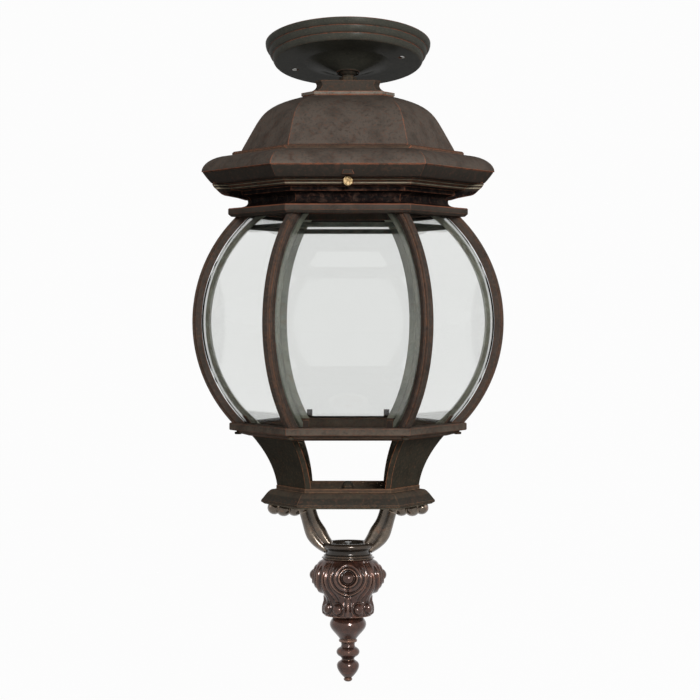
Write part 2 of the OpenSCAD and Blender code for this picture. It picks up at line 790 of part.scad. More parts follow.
module rib(i) {
    out = rib_arc_r;
    bead = rib_arc_r - rib_bead_h;
    back = rib_arc_r - rib_depth;
    color(rib_colour)
        at_corner(i - 1)
            corner_bar([[back, -rib_w / 2], [bead - 1, -rib_w / 2], [bead, -rib_w / 2 + 1],
                        [bead, -rib_bead_w / 2], [out - 0.8, -rib_bead_w / 2], [out, -rib_bead_w / 2 + 0.8],
                        [out, rib_bead_w / 2 - 0.8], [out - 0.8, rib_bead_w / 2], [bead, rib_bead_w / 2],
                        [bead, rib_w / 2 - 1], [bead - 1, rib_w / 2], [back, rib_w / 2]]);
}

module strip(i) {
    color(rib_colour)
        at_corner(i - 1)
            corner_bar([[strip_in_r, -strip_w / 2], [strip_arc_r, -strip_w / 2],
                        [strip_arc_r, strip_w / 2], [strip_in_r, strip_w / 2]]);
}

// Bent sheet in one face, from an inner to an outer radius of its cylinder
module bent_sheet(in_r, out_r) {
    translate([glass_axis, 0, rib_z])
        rotate([90, 0, 0])
            difference() {
                cylinder(h = 200, r = out_r, center = true, $fn = 180);
                cylinder(h = 202, r = in_r, center = true, $fn = 180);
            }
}

module glass_pane(i) {
    apex = glass_edge_gap / 2 / sin(30);
    reach = 150;
    color(glass_colour)
        at_face(face_angle(i))
            intersection() {
                bent_sheet(glass_r - glass_t, glass_r);
                translate([0, 0, base_top + glass_gap])
                    linear_extrude(height = cage_h - 2 * glass_gap)
                        polygon([[apex, 0], [reach, (reach - apex) * tan(30)],
                                 [reach, -(reach - apex) * tan(30)]]);
            }
}

module rib_1() { rib(1); }
module rib_2() { rib(2); }
module rib_3() { rib(3); }
module rib_4() { rib(4); }
module rib_5() { rib(5); }
module rib_6() { rib(6); }
module glass_1() { glass_pane(1); }
module glass_2() { glass_pane(2); }
module glass_3() { glass_pane(3); }
module glass_4() { glass_pane(4); }
module glass_5() { glass_pane(5); }
module glass_6() { glass_pane(6); }
module strip_1() { strip(1); }
module strip_2() { strip(2); }
module strip_3() { strip(3); }
module strip_4() { strip(4); }
module strip_5() { strip(5); }
module strip_6() { strip(6); }

// Corner radius of the strips' inner edge at a height
function strip_inside(z) = rib_arc_in + sqrt(strip_in_r * strip_in_r - (z - rib_z) * (z - rib_z));

module inner_ring() {
    top = head_foot - inner_ring_drop;
    foot = top - inner_ring_h;
    color(rib_colour)
        hex_moulding(stretched([[strip_inside(top) - 0.1, top], [strip_inside(foot) - 0.1, foot],
                                [strip_inside(foot) - 3.6, foot], [strip_inside(top) - 3.6, top]]));
}

module glass_clips() {
    foot_half = (rib_arc_in + sqrt(glass_corner_r * glass_corner_r - cage_half * cage_half)) / 2;
    clip_y = foot_half - rib_w / 2 / flat - clip_w - 1;
    color(rib_colour)
        for (i = [1:6], side = [-1, 1])
            at_face(face_angle(i))
                intersection() {
                    bent_sheet(glass_r + 0.15, glass_r + 0.15 + clip_t);
                    translate([50, side * (clip_y + clip_w / 2) - clip_w / 2, base_top])
                        cube([60, clip_w, clip_h]);
                }
}

// ---------------------------------------------------------------- base ring

module base_ring() {
    band_foot = base_top - base_band_h;
    color(roof_colour)
        difference() {
            hex_moulding(stretched([
                [base_r - 0.8, base_top], [base_r, base_top - 0.8], [base_r, band_foot + 0.6],
                [base_r - 0.8, band_foot], [base_r - 6.6, band_foot - 0.8], [base_r - 7.2, band_foot - 2.4],
                [waist_top_r + 4, base_foot + 0.4], [waist_top_r + 2.6, base_foot],
                [base_bore_r, base_foot], [base_bore_r, base_top]]));
            for (i = [0:5])
                at_corner(i)
                    translate([rib_foot, 0, base_foot - 1])
                        rotate([0, 0, 20]) {
                            cylinder(h = base_h + 2, r = rib_screw_d / 2 + 0.1);
                            cylinder(h = rib_screw_in + 1, r = rib_screw_d + 0.2);
                        }
        }
}

module rib_screws() {
    color(steel_colour)
        for (i = [0:5])
            at_corner(i)
                translate([rib_foot, 0, 0])
                    pan_screw(base_foot + rib_screw_in, rib_screw_d, base_h - rib_screw_in, rib_screw_d * 2, 2);
}

// ---------------------------------------------------------------- waist

// Corner radius of the waist at a share t of its height above the sill
function waist_line(t) =
    let (mid = lerp(waist_foot_r, waist_top_r, waist_flare))
    (1 - t) * (1 - t) * waist_foot_r + 2 * t * (1 - t) * mid + t * t * waist_top_r;

// Half of the waist: two bent walls that meet at the side corner
module cheek() {
    steps = 12;
    skew = cheek_t / sin(60);
    loft_stack([
        for (i = [steps:-1:0])
            let (t = i / steps,
                 z = sill_top + t * waist_h,
                 r = waist_line(t),
                 c = (r + waist_stretch) / 2,
                 b = (r - waist_stretch) * sin(60))
            [[r, 0, z], [c, b, z], [c - skew, b, z], [r - skew, 0, z], [c - skew, -b, z], [c, -b, z]]
    ]);
}

module waist_right() { color(roof_colour) cheek(); }
module waist_left() { color(roof_colour) rotate([0, 0, 180]) cheek(); }

// ---------------------------------------------------------------- tray

module tray() {
    flare = bezier([[tray_top_r, flare_top - 0.4], [tray_top_r + 3.6, flare_top - 2],
                    [tray_r - 3, flare_top - 6.4], [tray_r, tray_foot + 3.2]], 7);
    profile = concat([[waist_foot_r + 0.6, sill_top], [waist_foot_r + 0.6, flare_top]], flare,
                     [[tray_r, tray_foot + 1.8], [tray_r - 3, tray_foot], [2, tray_foot], [2, floor_z],
                      [waist_foot_r - 6, floor_z], [waist_foot_r - 6, sill_top]]);
    color(roof_colour)
        difference() {
            hex_moulding([for (p = profile) [p[0], p[1], p[0] < 3 ? 0 : waist_stretch]]);
            translate([0, 0, tray_foot - 1]) cylinder(h = 30, r = rod_d / 2 + 0.1);
            for (side = [-1, 1], x = [arm_screw_in, arm_screw_out])
                translate([side * x, 0, tray_foot - 1]) cylinder(h = 30, r = tray_screw_d / 2 + 0.1);
        }
}

module cap_nut() {
    color(steel_colour) {
        translate([0, 0, floor_z]) {
            cylinder(h = cap_nut_h * 0.6, r = cap_nut_d / 2, $fn = 6);
            translate([0, 0, cap_nut_h * 0.6 - eps])
                rotate_extrude()
                    polygon(concat([[0, 0]], arc([0, 0], cap_nut_d * 0.42, cap_nut_h * 0.4, 0, 90, 8)));
        }
        translate([0, 0, tray_foot - 1]) cylinder(h = floor_z - tray_foot + 1 + eps, r = rod_d / 2);
        translate([0, 0, tray_foot - 2.4]) cylinder(h = 2.4, r = rod_d * 0.8);
    }
}

// ---------------------------------------------------------------- arms and cup

// Side view of one arm, drawn in X and Z with the tray's underside at zero
function arm_outline() =
    let (x = scroll_x, r = scroll_r, h = arm_h)
    concat(
        [[x + r + 4, 0]],
        arc([x + 4, -r - 0.4], r, r, 60, -90, 8),
        arc([x - 5, -r - 0.4], r, r, -90, -120, 3),
        arc([x - 16, -r - 1], r + 0.9, r + 0.9, -38, -115, 6),
        bezier([[x - 19.4, -r * 2 - 2.2], [x - 24.2, -19.4], [x - 23.2, -h + 1.6], [cup_rim_r + 1, -h - 8.3]], 12, 0),
        bezier([[cup_rim_r * 0.46, -h - 1.6], [x - 41.6, -h + 6], [x - 40, -13], [x - 28, 0]], 12, 0));

module arm() {
    outline = arm_outline();
    translate([0, 0, tray_foot])
        rotate([90, 0, 0])
            difference() {
                linear_extrude(height = arm_w, center = true) polygon(outline);
                for (side = [-1, 1])
                    translate([0, 0, side * arm_w / 2])
                        linear_extrude(height = 2 * arm_groove, center = true)
                            offset(delta = -2.6) polygon(outline);
            }
}

module arm_body() {
    difference() {
        arm();
        translate([0, 0, cup_foot - 5])
            cylinder(h = cup_top - cup_foot + 5 + eps, r = cup_rim_r + arm_gap);
        translate([0, 0, cup_top]) cylinder(h = 40, r = cup_rim_r * 0.5);
        for (x = [arm_screw_in, arm_screw_out])
            translate([x, 0, tray_foot - 9]) cylinder(h = 10, r = tray_screw_d / 2 + 0.05);
    }
}

module arm_right() { color(arm_colour) arm_body(); }
module arm_left() { color(arm_colour) rotate([0, 0, 180]) arm_body(); }

module tray_screws() {
    color(steel_colour)
        for (side = [-1, 1], x = [arm_screw_in, arm_screw_out])
            translate([side * x, 0, floor_z])
                rotate([180, 0, 0])
                    pan_screw(0, tray_screw_d, floor_z - tray_foot + 7, tray_screw_head_d, 2.6);
}

module cup() {
    outer = concat([[cup_rim_r, cup_top], [cup_rim_r, cup_top - 1.6]],
                   bezier([[cup_rim_r - 0.6, cup_top - 2.2], [cup_waist_r, cup_top - 5],
                           [cup_waist_r - 0.6, cup_foot + 6], [cup_waist_r, cup_foot + 3.2]], 8),
                   [[cup_waist_r + 0.6, cup_foot + 2.2], [cup_waist_r + 1.2, cup_foot + 1],
                    [cup_waist_r + 0.8, cup_foot]]);
    hollow = concat([[cup_rim_r - cup_wall - 3, cup_top - cup_hollow]],
                    bezier([[cup_rim_r - cup_wall - 2, cup_top - cup_hollow + 0.6],
                            [cup_rim_r - cup_wall, cup_top - 5], [cup_rim_r - cup_wall, cup_top - 2],
                            [cup_rim_r - cup_wall + 1.4, cup_top]], 6));
    color(arm_colour)
        rotate_extrude()
            polygon(concat(outer, [[rod_d / 2 + 0.1, cup_foot], [rod_d / 2 + 0.1, cup_top - cup_hollow]], hollow));
}

// ---------------------------------------------------------------- leaf body

// Shares of the leaf body's height at its widest place and at its narrowest
leaf_wide = 0.31;
leaf_narrow = 0.734;

// Radius of the bulb at a share t of its height below the cup
function leaf_line(t) =
    let (waist = leaf_r * 0.65)
    t < leaf_wide ? lerp(cup_waist_r + 0.8, leaf_r, sin(90 * t / leaf_wide)) :
    t < leaf_narrow ?
        lerp(waist, leaf_r, (1 + cos(180 * pow((t - leaf_wide) / (leaf_narrow - leaf_wide), 1.35))) / 2) :
    waist + 2 * sin(180 * (t - leaf_narrow) / (1 - leaf_narrow));

// Share of the relief at an angle: rounded leaves with sharp furrows between
function leaf_wave(angle) = abs(cos(angle * leaf_count / 2));

// Height of the four volutes above the bulb: a ball ringed by a rounded roll
function volute(angle, z) =
    let (turn = angle - 90 * round(angle / 90),
         across = leaf_r * turn * PI / 180,
         d = norm([across, z - cup_foot + volute_drop]),
         roll = 3.2)
    d < volute_ball ? volute_relief * sqrt(1 - pow(d / volute_ball, 2)) :
    abs(d - volute_r) < roll ? volute_relief * 0.7 * cos(90 * (d - volute_r) / roll) : 0;

module leaf_body() {
    sides = leaf_count * 11;
    steps = 30;
    bore = rod_d / 2 + 0.15;
    outer = [
        for (i = [0:steps])
            let (t = i / steps,
                 z = cup_foot - leaf_h * t,
                 depth = leaf_relief * sin(180 * min(1, t * 1.02 + 0.02)))
            [for (k = [0:sides - 1])
                let (a = 360 * k / sides,
                     r = leaf_line(t) - depth * (1 - leaf_wave(a)) + volute(a, z))
                [r * cos(a), -r * sin(a), z]]
    ];
    inner = [for (z = [leaf_foot, cup_foot]) [for (k = [0:sides - 1])
        let (a = 360 * k / sides) [bore * cos(a), -bore * sin(a), z]]];
    color(arm_colour) loft_loop(concat(outer, inner));
}

// ---------------------------------------------------------------- finial

module finial_rod() {
    length = cup_top - cup_hollow + 7 - leaf_foot + 14;
    color(steel_colour) translate([0, 0, leaf_foot - 14]) cylinder(h = length, r = rod_d / 2);
}

module finial_nut() { color(steel_colour) hex_nut(cup_top - cup_hollow, 4.6, 10, rod_d / 2 + 0.05); }

module finial() {
    k = finial_h / 57;
    n = finial_neck_r;
    outline = concat(
        [[n * 2.1, 0], [pear_r - 2.4, -2.4 * k]],
        bezier([[pear_r - 1.4, -3.8 * k], [pear_r + 3, -10.2 * k], [pear_r - 4.4, -14.2 * k],
                [n + 1.9, -20.2 * k]], 12),
        [[n + 2.6, -21.2 * k], [n + 2.6, -22.4 * k], [n + 0.9, -23.6 * k], [n + 0.5, -25.2 * k]],
        arc([0, -31.4 * k], bead_r, 5.6 * k, 52, -52, 10),
        [[n + 0.2, -37.2 * k], [n + 0.2, -38 * k]],
        bezier([[bud_r - 2.6, -39 * k], [bud_r + 2.2, -41.2 * k], [bud_r + 0.4, -47.6 * k], [3, -53.6 * k]], 12),
        [[3.7, -54.4 * k]],
        arc([0, -54.8 * k], 3.7, 2.2 * k, 0, -90, 5));
    color(arm_colour)
        difference() {
            translate([0, 0, leaf_foot]) rotate_extrude() polygon(concat([[0, 0]], outline));
            translate([0, 0, leaf_foot - 15]) cylinder(h = 16, r = rod_d / 2 + 0.05);
        }
}

// ---------------------------------------------------------------- nodes

canopy();
swivel_washer();
hanger_tube();
hanger_nut();
jam_nut();
neck();
roof();
roof_nut();
lampholder_cap();
lampholder_body();
screw_shell();
centre_contact();
lamp_leads();
earth_screw();
cage_head();
thumbscrew_1();
thumbscrew_2();
thumbscrew_3();
clamp_nuts();
rib_1();
rib_2();
rib_3();
rib_4();
rib_5();
rib_6();
glass_1();
glass_2();
glass_3();
glass_4();
glass_5();
glass_6();
strip_1();
strip_2();
strip_3();
strip_4();
strip_5();
strip_6();
inner_ring();
glass_clips();
base_ring();
rib_screws();
waist_left();
waist_right();
tray();
cap_nut();
tray_screws();
arm_left();
arm_right();
cup();
leaf_body();
finial_rod();
finial_nut();
finial();
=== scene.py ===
"""Looks of a hexagonal ceiling lantern in aged bronze with bent glass panes.

Everything is in metres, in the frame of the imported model: +Z up along the
hanging axis, the front pane towards -Y, the origin at the swivel's centre.
"""

from __future__ import annotations

import json
import logging
import math
from dataclasses import dataclass, field
from enum import Enum
from typing import Any, Iterable, Sequence

import bmesh
import bpy
from mathutils import Matrix, Vector

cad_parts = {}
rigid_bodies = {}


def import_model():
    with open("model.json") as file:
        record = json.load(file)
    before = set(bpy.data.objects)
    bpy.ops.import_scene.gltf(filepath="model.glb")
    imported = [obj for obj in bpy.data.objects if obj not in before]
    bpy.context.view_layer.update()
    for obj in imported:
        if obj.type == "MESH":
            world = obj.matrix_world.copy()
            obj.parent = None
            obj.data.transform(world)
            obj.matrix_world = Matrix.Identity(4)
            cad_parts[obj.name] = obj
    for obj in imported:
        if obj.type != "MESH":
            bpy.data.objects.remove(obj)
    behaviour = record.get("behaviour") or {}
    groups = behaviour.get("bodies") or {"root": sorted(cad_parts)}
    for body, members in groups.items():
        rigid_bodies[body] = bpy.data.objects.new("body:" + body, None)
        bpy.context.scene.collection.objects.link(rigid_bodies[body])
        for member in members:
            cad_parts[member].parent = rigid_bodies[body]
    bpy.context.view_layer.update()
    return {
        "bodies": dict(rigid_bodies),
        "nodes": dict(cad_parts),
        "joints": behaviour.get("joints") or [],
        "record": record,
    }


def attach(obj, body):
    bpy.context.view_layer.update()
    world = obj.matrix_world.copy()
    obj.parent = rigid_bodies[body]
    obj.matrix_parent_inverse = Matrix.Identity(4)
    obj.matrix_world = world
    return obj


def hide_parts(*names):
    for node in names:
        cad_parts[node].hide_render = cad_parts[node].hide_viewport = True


LOG = logging.getLogger("lantern")
MM = 0.001

Colour = tuple[float, float, float, float]
Span = tuple[float, float]

WHITE: Colour = (1.0, 1.0, 1.0, 1.0)


# ------------------------------------------------------------------ helpers


def linear(hex_code: str, alpha: float = 1.0) -> Colour:
    """Turns an sRGB hex value into a linear colour.

    Args:
        hex_code: Six digits, such as "4a423c".
        alpha: Opacity to go with it.

    Returns:
        Red, green, blue and alpha, linear.
    """
    parts = [int(hex_code[i : i + 2], 16) / 255 for i in (0, 2, 4)]
    rgb = [p / 12.92 if p <= 0.04045 else ((p + 0.055) / 1.055) ** 2.4 for p in parts]
    return (rgb[0], rgb[1], rgb[2], alpha)


def add_node(
    tree: bpy.types.NodeTree,
    kind: str,
    settings: dict[str, Any] | None = None,
    inputs: dict[str | int, Any] | None = None,
) -> bpy.types.Node:
    """Adds one shader node with its settings, values and links.

    Args:
        tree: Tree that gets the node.
        kind: Node type without its ShaderNode prefix.
        settings: Attributes of the node itself.
        inputs: Socket name or number, and a value or an output socket.

    Returns:
        The new node.
    """
    node = tree.nodes.new("ShaderNode" + kind)
    for name, value in (settings or {}).items():
        setattr(node, name, value)
    for key, value in (inputs or {}).items():
        socket = node.inputs[key]
        if isinstance(value, bpy.types.NodeSocket):
            tree.links.new(value, socket)
        else:
            socket.default_value = value
    return node


def blank_material(name: str) -> tuple[bpy.types.Material, bpy.types.NodeTree]:
    """Starts an empty node material.

    Args:
        name: Name of the material.

    Returns:
        The material and its cleared node tree.
    """
    material = bpy.data.materials.new(name)
    material.use_nodes = True
    material.node_tree.nodes.clear()
    return material, material.node_tree


def seen_rays(tree: bpy.types.NodeTree) -> bpy.types.NodeSocket:
    """Tells rays of the lens, and of metal and glass, from those that light.

    Args:
        tree: Tree of the backdrop's material or of the world.

    Returns:
        Output socket, 1 on a ray that shows the background.
    """
    path = add_node(tree, "LightPath").outputs
    seen = path["Is Camera Ray"]
    for kind in ("Is Transmission Ray", "Is Glossy Ray"):
        seen = add_node(tree, "Math", {"operation": "MAXIMUM"}, {0: seen, 1: path[kind]}).outputs["Value"]
    return seen


def layer(tree: bpy.types.NodeTree, under: Any, over: Any, value: Any, span: Span, cover: float = 1.0) -> Any:
    """Lays one colour over another where a value goes through a span.

    Args:
        tree: Tree of the material.
        under: Colour where the value hasn't reached the span.
        over: Colour where the value is past it.
        value: Output socket that decides.
        span: Where the upper colour starts and where it is full.
        cover: How much of the lower colour it hides when full.

    Returns:
        Output socket with the new colour.
    """
    inputs = {"Value": value, "From Min": span[0], "From Max": span[1], "To Max": cover}
    share = add_node(tree, "MapRange", inputs=inputs).outputs["Result"]
    return add_node(tree, "Mix", {"data_type": "RGBA"}, {0: share, 6: under, 7: over}).outputs[2]


def close_material(
    tree: bpy.types.NodeTree, material: bpy.types.Material, inputs: dict[str | int, Any]
) -> bpy.types.Material:
    """Closes a material with its surface shader.

    Args:
        tree: Tree of the material.
        material: The material that the tree belongs to.
        inputs: Inputs of the surface shader.

    Returns:
        The finished material.
    """
    shader = add_node(tree, "BsdfPrincipled", inputs=inputs)
    add_node(tree, "OutputMaterial", inputs={"Surface": shader.outputs["BSDF"]})
    return material


def dress(obj: bpy.types.Object, material: bpy.types.Material) -> None:
    """Gives an object one material in place of all that it has."""
    obj.data.materials.clear()
    obj.data.materials.append(material)


# ------------------------------------------------------------------ finishes

# Noise values over which a layer of the patina comes in, and how much it hides
CLOUD_SPAN, CLOUD_COVER = (0.45, 0.68), 0.5
TINT_SPAN, TINT_COVER = (0.53, 0.72), 0.65
PALE_FLECK_SPAN = (0.54, 0.66)
DARK_FLECK_SPAN = (0.46, 0.34)
BROKEN_SPAN = (0.3, 0.56)
ROUGH_SPAN = (0.3, 0.7)
# Pointiness is 0.5 on a flat face, less in a hollow and more on a crest
HOLLOW_SPAN = (0.497, 0.455)
CREST_SPAN, CREST_COVER = (0.515, 0.6), 0.5
# Cosine between the rounded-over normal and the flat one, near an edge and on it
EDGE_SPAN = (0.985, 0.91)
# A spun cover's paint ends where a face no longer looks outwards and down
OUTWARD_DROP = 1.6
INSIDE_SPAN = (-0.1, -0.35)
SOOT = "14100e"


@dataclass(frozen=True)
class AgedBronze:
    """Cast aluminium under an oil-rubbed bronze patina.

    The patina is a dark brown lacquer, cloudy at the scale of a hand's touch
    and speckled by the sand-cast skin below it. Copper colour shows where the
    lacquer is rubbed through, along edges and on high places. `levels` gives
    colours at heights in millimetres, where they aren't the same on the whole
    casting: rubbed copper, and on some castings pale bands that are painted
    highlights along edges and a near-black band that is painted shade in a
    recess. Sand grain is finer than a pixel of the render, so `speckle_mm` is
    as coarse as it needs to be to show.
    """

    name: str
    body: str = "534b45"
    cloud: str = "322d29"
    tint: str = "4c3b33"
    rubbed: str = "9b6249"
    inside: str = ""
    # Colours by height; on some castings they hold painted highlights and painted shade
    levels: tuple[tuple[float, str], ...] = ()
    wear: float = 0.7
    roughness: float = 0.5
    metallic: float = 0.07
    fleck: str = "64483b"
    flecks: float = 0.45
    specular: float = 0.0
    grain: float = 0.5
    grain_mm: float = 0.25
    lacquer: float = 0.0
    lacquer_roughness: float = 0.16
    relief: float = 0.0
    edge_mm: float = 0.9
    cloud_mm: float = 17.0
    tint_mm: float = 7.0
    speckle_mm: float = 2.2

    def _body(self, tree: bpy.types.NodeTree, place: Any) -> Any:
        """Returns the plain patina's colour, by height where `levels` says so; some of those colours are painted
        highlights and painted shade.
        """
        if not self.levels:
            return linear(self.body)
        foot, head = self.levels[0][0] * MM, self.levels[-1][0] * MM
        height = add_node(tree, "SeparateXYZ", inputs={0: place}).outputs["Z"]
        share = add_node(tree, "MapRange", inputs={"Value": height, "From Min": foot, "From Max": head})
        ramp = add_node(tree, "ValToRGB", inputs={0: share.outputs["Result"]})
        stops = ramp.color_ramp.elements
        ready = len(stops)
        for index, (level, colour) in enumerate(self.levels):
            at = (level * MM - foot) / (head - foot)
            stop = stops[index] if index < ready else stops.new(at)
            stop.position = at
            stop.color = linear(colour)
        return ramp.outputs["Color"]

    def _edges(self, tree: bpy.types.NodeTree, rounded: Any) -> Any:
        """Finds edges, where the rounded-over normal leaves the flat one.

        Args:
            tree: Tree of the material.
            rounded: Output with the rounded-over normal.

        Returns:
            Output socket, 1 on an edge.
        """
        flat = add_node(tree, "NewGeometry").outputs["Normal"]
        along = add_node(tree, "VectorMath", {"operation": "DOT_PRODUCT"}, {0: rounded, 1: flat})
        inputs = {"Value": along.outputs["Value"], "From Min": EDGE_SPAN[0], "From Max": EDGE_SPAN[1]}
        return add_node(tree, "MapRange", inputs=inputs).outputs["Result"]

    def _hollows(self, tree: bpy.types.NodeTree, patina: Any) -> Any:
        """Blackens the hollows of a carved surface and rubs its crests bright.

        Args:
            tree: Tree of the material.
            patina: Colour of the plain patina.

        Returns:
            Output socket with the new colour.
        """
        point = add_node(tree, "NewGeometry").outputs["Pointiness"]
        dark = layer(tree, patina, linear(SOOT), point, HOLLOW_SPAN, self.relief)
        return layer(tree, dark, linear(self.rubbed), point, CREST_SPAN, CREST_COVER * self.relief)

    def _unpainted(self, tree: bpy.types.NodeTree, place: Any, colour: Any) -> Any:
        """Bares the faces that look at the hanging axis, or up, on a spun cover.

        Args:
            tree: Tree of the material.
            place: Output with the object's own coordinates.
            colour: Colour of the painted outside.

        Returns:
            Output socket with the new colour.
        """
        outward = place
        for operation, inputs in (
            ("MULTIPLY", {1: (1.0, 1.0, 0.0)}),
            ("NORMALIZE", {}),
            ("SUBTRACT", {1: (0.0, 0.0, OUTWARD_DROP)}),
        ):
            outward = add_node(tree, "VectorMath", {"operation": operation}, {0: outward} | inputs).outputs["Vector"]
        facing = add_node(tree, "NewGeometry").outputs["Normal"]
        out = add_node(tree, "VectorMath", {"operation": "DOT_PRODUCT"}, {0: facing, 1: outward}).outputs["Value"]
        return layer(tree, colour, linear(self.inside), out, INSIDE_SPAN)

    def build(self) -> bpy.types.Material:
        """Builds the material.

        Returns:
            The node material.
        """
        material, tree = blank_material(self.name)
        place = add_node(tree, "TexCoord").outputs["Object"]
        cloud, tint, speckle = (
            add_node(
                tree,
                "TexNoise",
                inputs={
                    "Vector": place,
                    "Scale": 1 / (size * MM),
                    "Detail": 4.0,
                    "Roughness": 0.6,
                    "Distortion": twist,
                },
            ).outputs["Fac"]
            for size, twist in ((self.cloud_mm, 0.0), (self.tint_mm, 0.8), (self.speckle_mm, 0.0))
        )
        rounded = add_node(tree, "Bevel", {"samples": 6}, {"Radius": self.edge_mm * MM}).outputs["Normal"]
        patina = self._body(tree, place)
        for colour, value, span, cover in (
            (self.cloud, cloud, CLOUD_SPAN, CLOUD_COVER),
            (self.tint, tint, TINT_SPAN, TINT_COVER),
            (self.fleck, speckle, PALE_FLECK_SPAN, self.flecks),
            (self.cloud, speckle, DARK_FLECK_SPAN, self.flecks),
        ):
            patina = layer(tree, patina, linear(colour), value, span, cover)
        if self.relief:
            patina = self._hollows(tree, patina)
        # Copper along the edges, broken up by the tint's clouds
        inputs = {"Value": tint, "From Min": BROKEN_SPAN[0], "From Max": BROKEN_SPAN[1]}
        amount = add_node(tree, "MapRange", inputs=inputs).outputs["Result"]
        for factor in (self._edges(tree, rounded), self.wear):
            amount = add_node(tree, "Math", {"operation": "MULTIPLY"}, {0: amount, 1: factor}).outputs["Value"]
        inputs = {0: amount, 6: patina, 7: linear(self.rubbed)}
        colour = add_node(tree, "Mix", {"data_type": "RGBA"}, inputs).outputs[2]
        if self.inside:
            colour = self._unpainted(tree, place, colour)
        rough = add_node(
            tree,
            "MapRange",
            inputs={
                "Value": speckle,
                "From Min": ROUGH_SPAN[0],
                "From Max": ROUGH_SPAN[1],
                "To Min": self.roughness - 0.1,
                "To Max": self.roughness + 0.1,
            },
        )
        bump = add_node(
            tree,
            "Bump",
            inputs={"Strength": self.grain, "Distance": self.grain_mm * MM, "Height": speckle, "Normal": rounded},
        )
        return close_material(
            tree,
            material,
            {
                "Base Color": colour,
                "Metallic": self.metallic,
                "Specular IOR Level": self.specular,
                "Roughness": rough.outputs["Result"],
                "Coat Weight": self.lacquer,
                "Coat Roughness": self.lacquer_roughness,
                "Normal": bump.outputs["Normal"],
            },
        )


@dataclass(frozen=True)
class PlainMetal:
    """Turned brass, or zinc-plated steel, with fine lathe and plating marks."""

    name: str
    colour: str
    dull: str
    roughness: float = 0.3
    mark_mm: float = 1.2

    def build(self) -> bpy.types.Material:
        """Builds the material.

        Returns:
            The node material.
        """
        material, tree = blank_material(self.name)
        place = add_node(tree, "TexCoord").outputs["Object"]
        inputs = {"Vector": place, "Scale": 1 / (self.mark_mm * MM), "Detail": 4.0, "Roughness": 0.6}
        marks = add_node(tree, "TexNoise", inputs=inputs).outputs["Fac"]
        colour = add_node(
            tree,
            "Mix",
            {"data_type": "RGBA"},
            {0: marks, 6: linear(self.colour), 7: linear(self.dull)},
        )
        rough = add_node(
            tree,
            "MapRange",
            inputs={
                "Value": marks,
                "From Min": ROUGH_SPAN[0],
                "From Max": ROUGH_SPAN[1],
                "To Min": self.roughness - 0.06,
                "To Max": self.roughness + 0.1,
            },
        )
        bump = add_node(tree, "Bump", inputs={"Strength": 0.15, "Distance": 0.1 * MM, "Height": marks})
        return close_material(
            tree,
            material,
            {
                "Base Color": colour.outputs[2],
                "Metallic": 1.0,
                "Roughness": rough.outputs["Result"],
                "Normal": bump.outputs["Normal"],
            },
        )


@dataclass(frozen=True)
class ClearGlass:
    """Float glass bent over a mould: clear, faintly grey-green in the sheet."""

    name: str = "bent_float_glass"
    tint: str = "eeefee"
    ior: float = 1.5

    def build(self) -> bpy.types.Material:
        """Builds the material.

        Returns:
            The node material.
        """
        material, tree = blank_material(self.name)
        inputs = {"Base Color": linear(self.tint), "Roughness": 0.0, "IOR": self.ior, "Transmission Weight": 1.0}
        return close_material(tree, material, inputs)


@dataclass(frozen=True)
class Glazed:
    """Glazed porcelain, or smooth wire insulation: even colour, soft gloss."""

    name: str
    colour: str
    shade: str
    roughness: float
    drift_mm: float = 14.0

    def build(self) -> bpy.types.Material:
        """Builds the material.

        Returns:
            The node material.
        """
        material, tree = blank_material(self.name)
        place = add_node(tree, "TexCoord").outputs["Object"]
        drift = add_node(
            tree, "TexNoise", inputs={"Vector": place, "Scale": 1 / (self.drift_mm * MM), "Detail": 2.0}
        )
        colour = add_node(
            tree,
            "Mix",
            {"data_type": "RGBA"},
            {0: drift.outputs["Fac"], 6: linear(self.colour), 7: linear(self.shade)},
        )
        return close_material(
            tree, material, {"Base Color": colour.outputs[2], "Roughness": self.roughness}
        )


@dataclass(frozen=True)
class WhiteSweep:
    """Matt white studio paper that a lens, metal or glass sees as white.

    A small share stays plain paper for them too, and keeps the lantern's
    shadow.
    """

    name: str = "white_paper_sweep"
    colour: str = "a9a9a7"
    glow: float = 0.97

    def build(self) -> bpy.types.Material:
        """Builds the material.

        Returns:
            The node material.
        """
        material, tree = blank_material(self.name)
        seen = add_node(tree, "MapRange", inputs={"Value": seen_rays(tree), "To Max": self.glow})
        paper = add_node(tree, "BsdfDiffuse", inputs={"Color": linear(self.colour)})
        glow = add_node(tree, "Emission", inputs={"Color": WHITE, "Strength": 1.0})
        mix = add_node(
            tree,
            "MixShader",
            inputs={0: seen.outputs["Result"], 1: paper.outputs["BSDF"], 2: glow.outputs["Emission"]},
        )
        # Clear from its back, so that the lantern can be looked at from below
        back = add_node(tree, "NewGeometry").outputs["Backfacing"]
        clear = add_node(tree, "BsdfTransparent").outputs["BSDF"]
        sides = add_node(tree, "MixShader", inputs={0: back, 1: mix.outputs["Shader"], 2: clear})
        add_node(tree, "OutputMaterial", inputs={"Surface": sides.outputs["Shader"]})
        return material


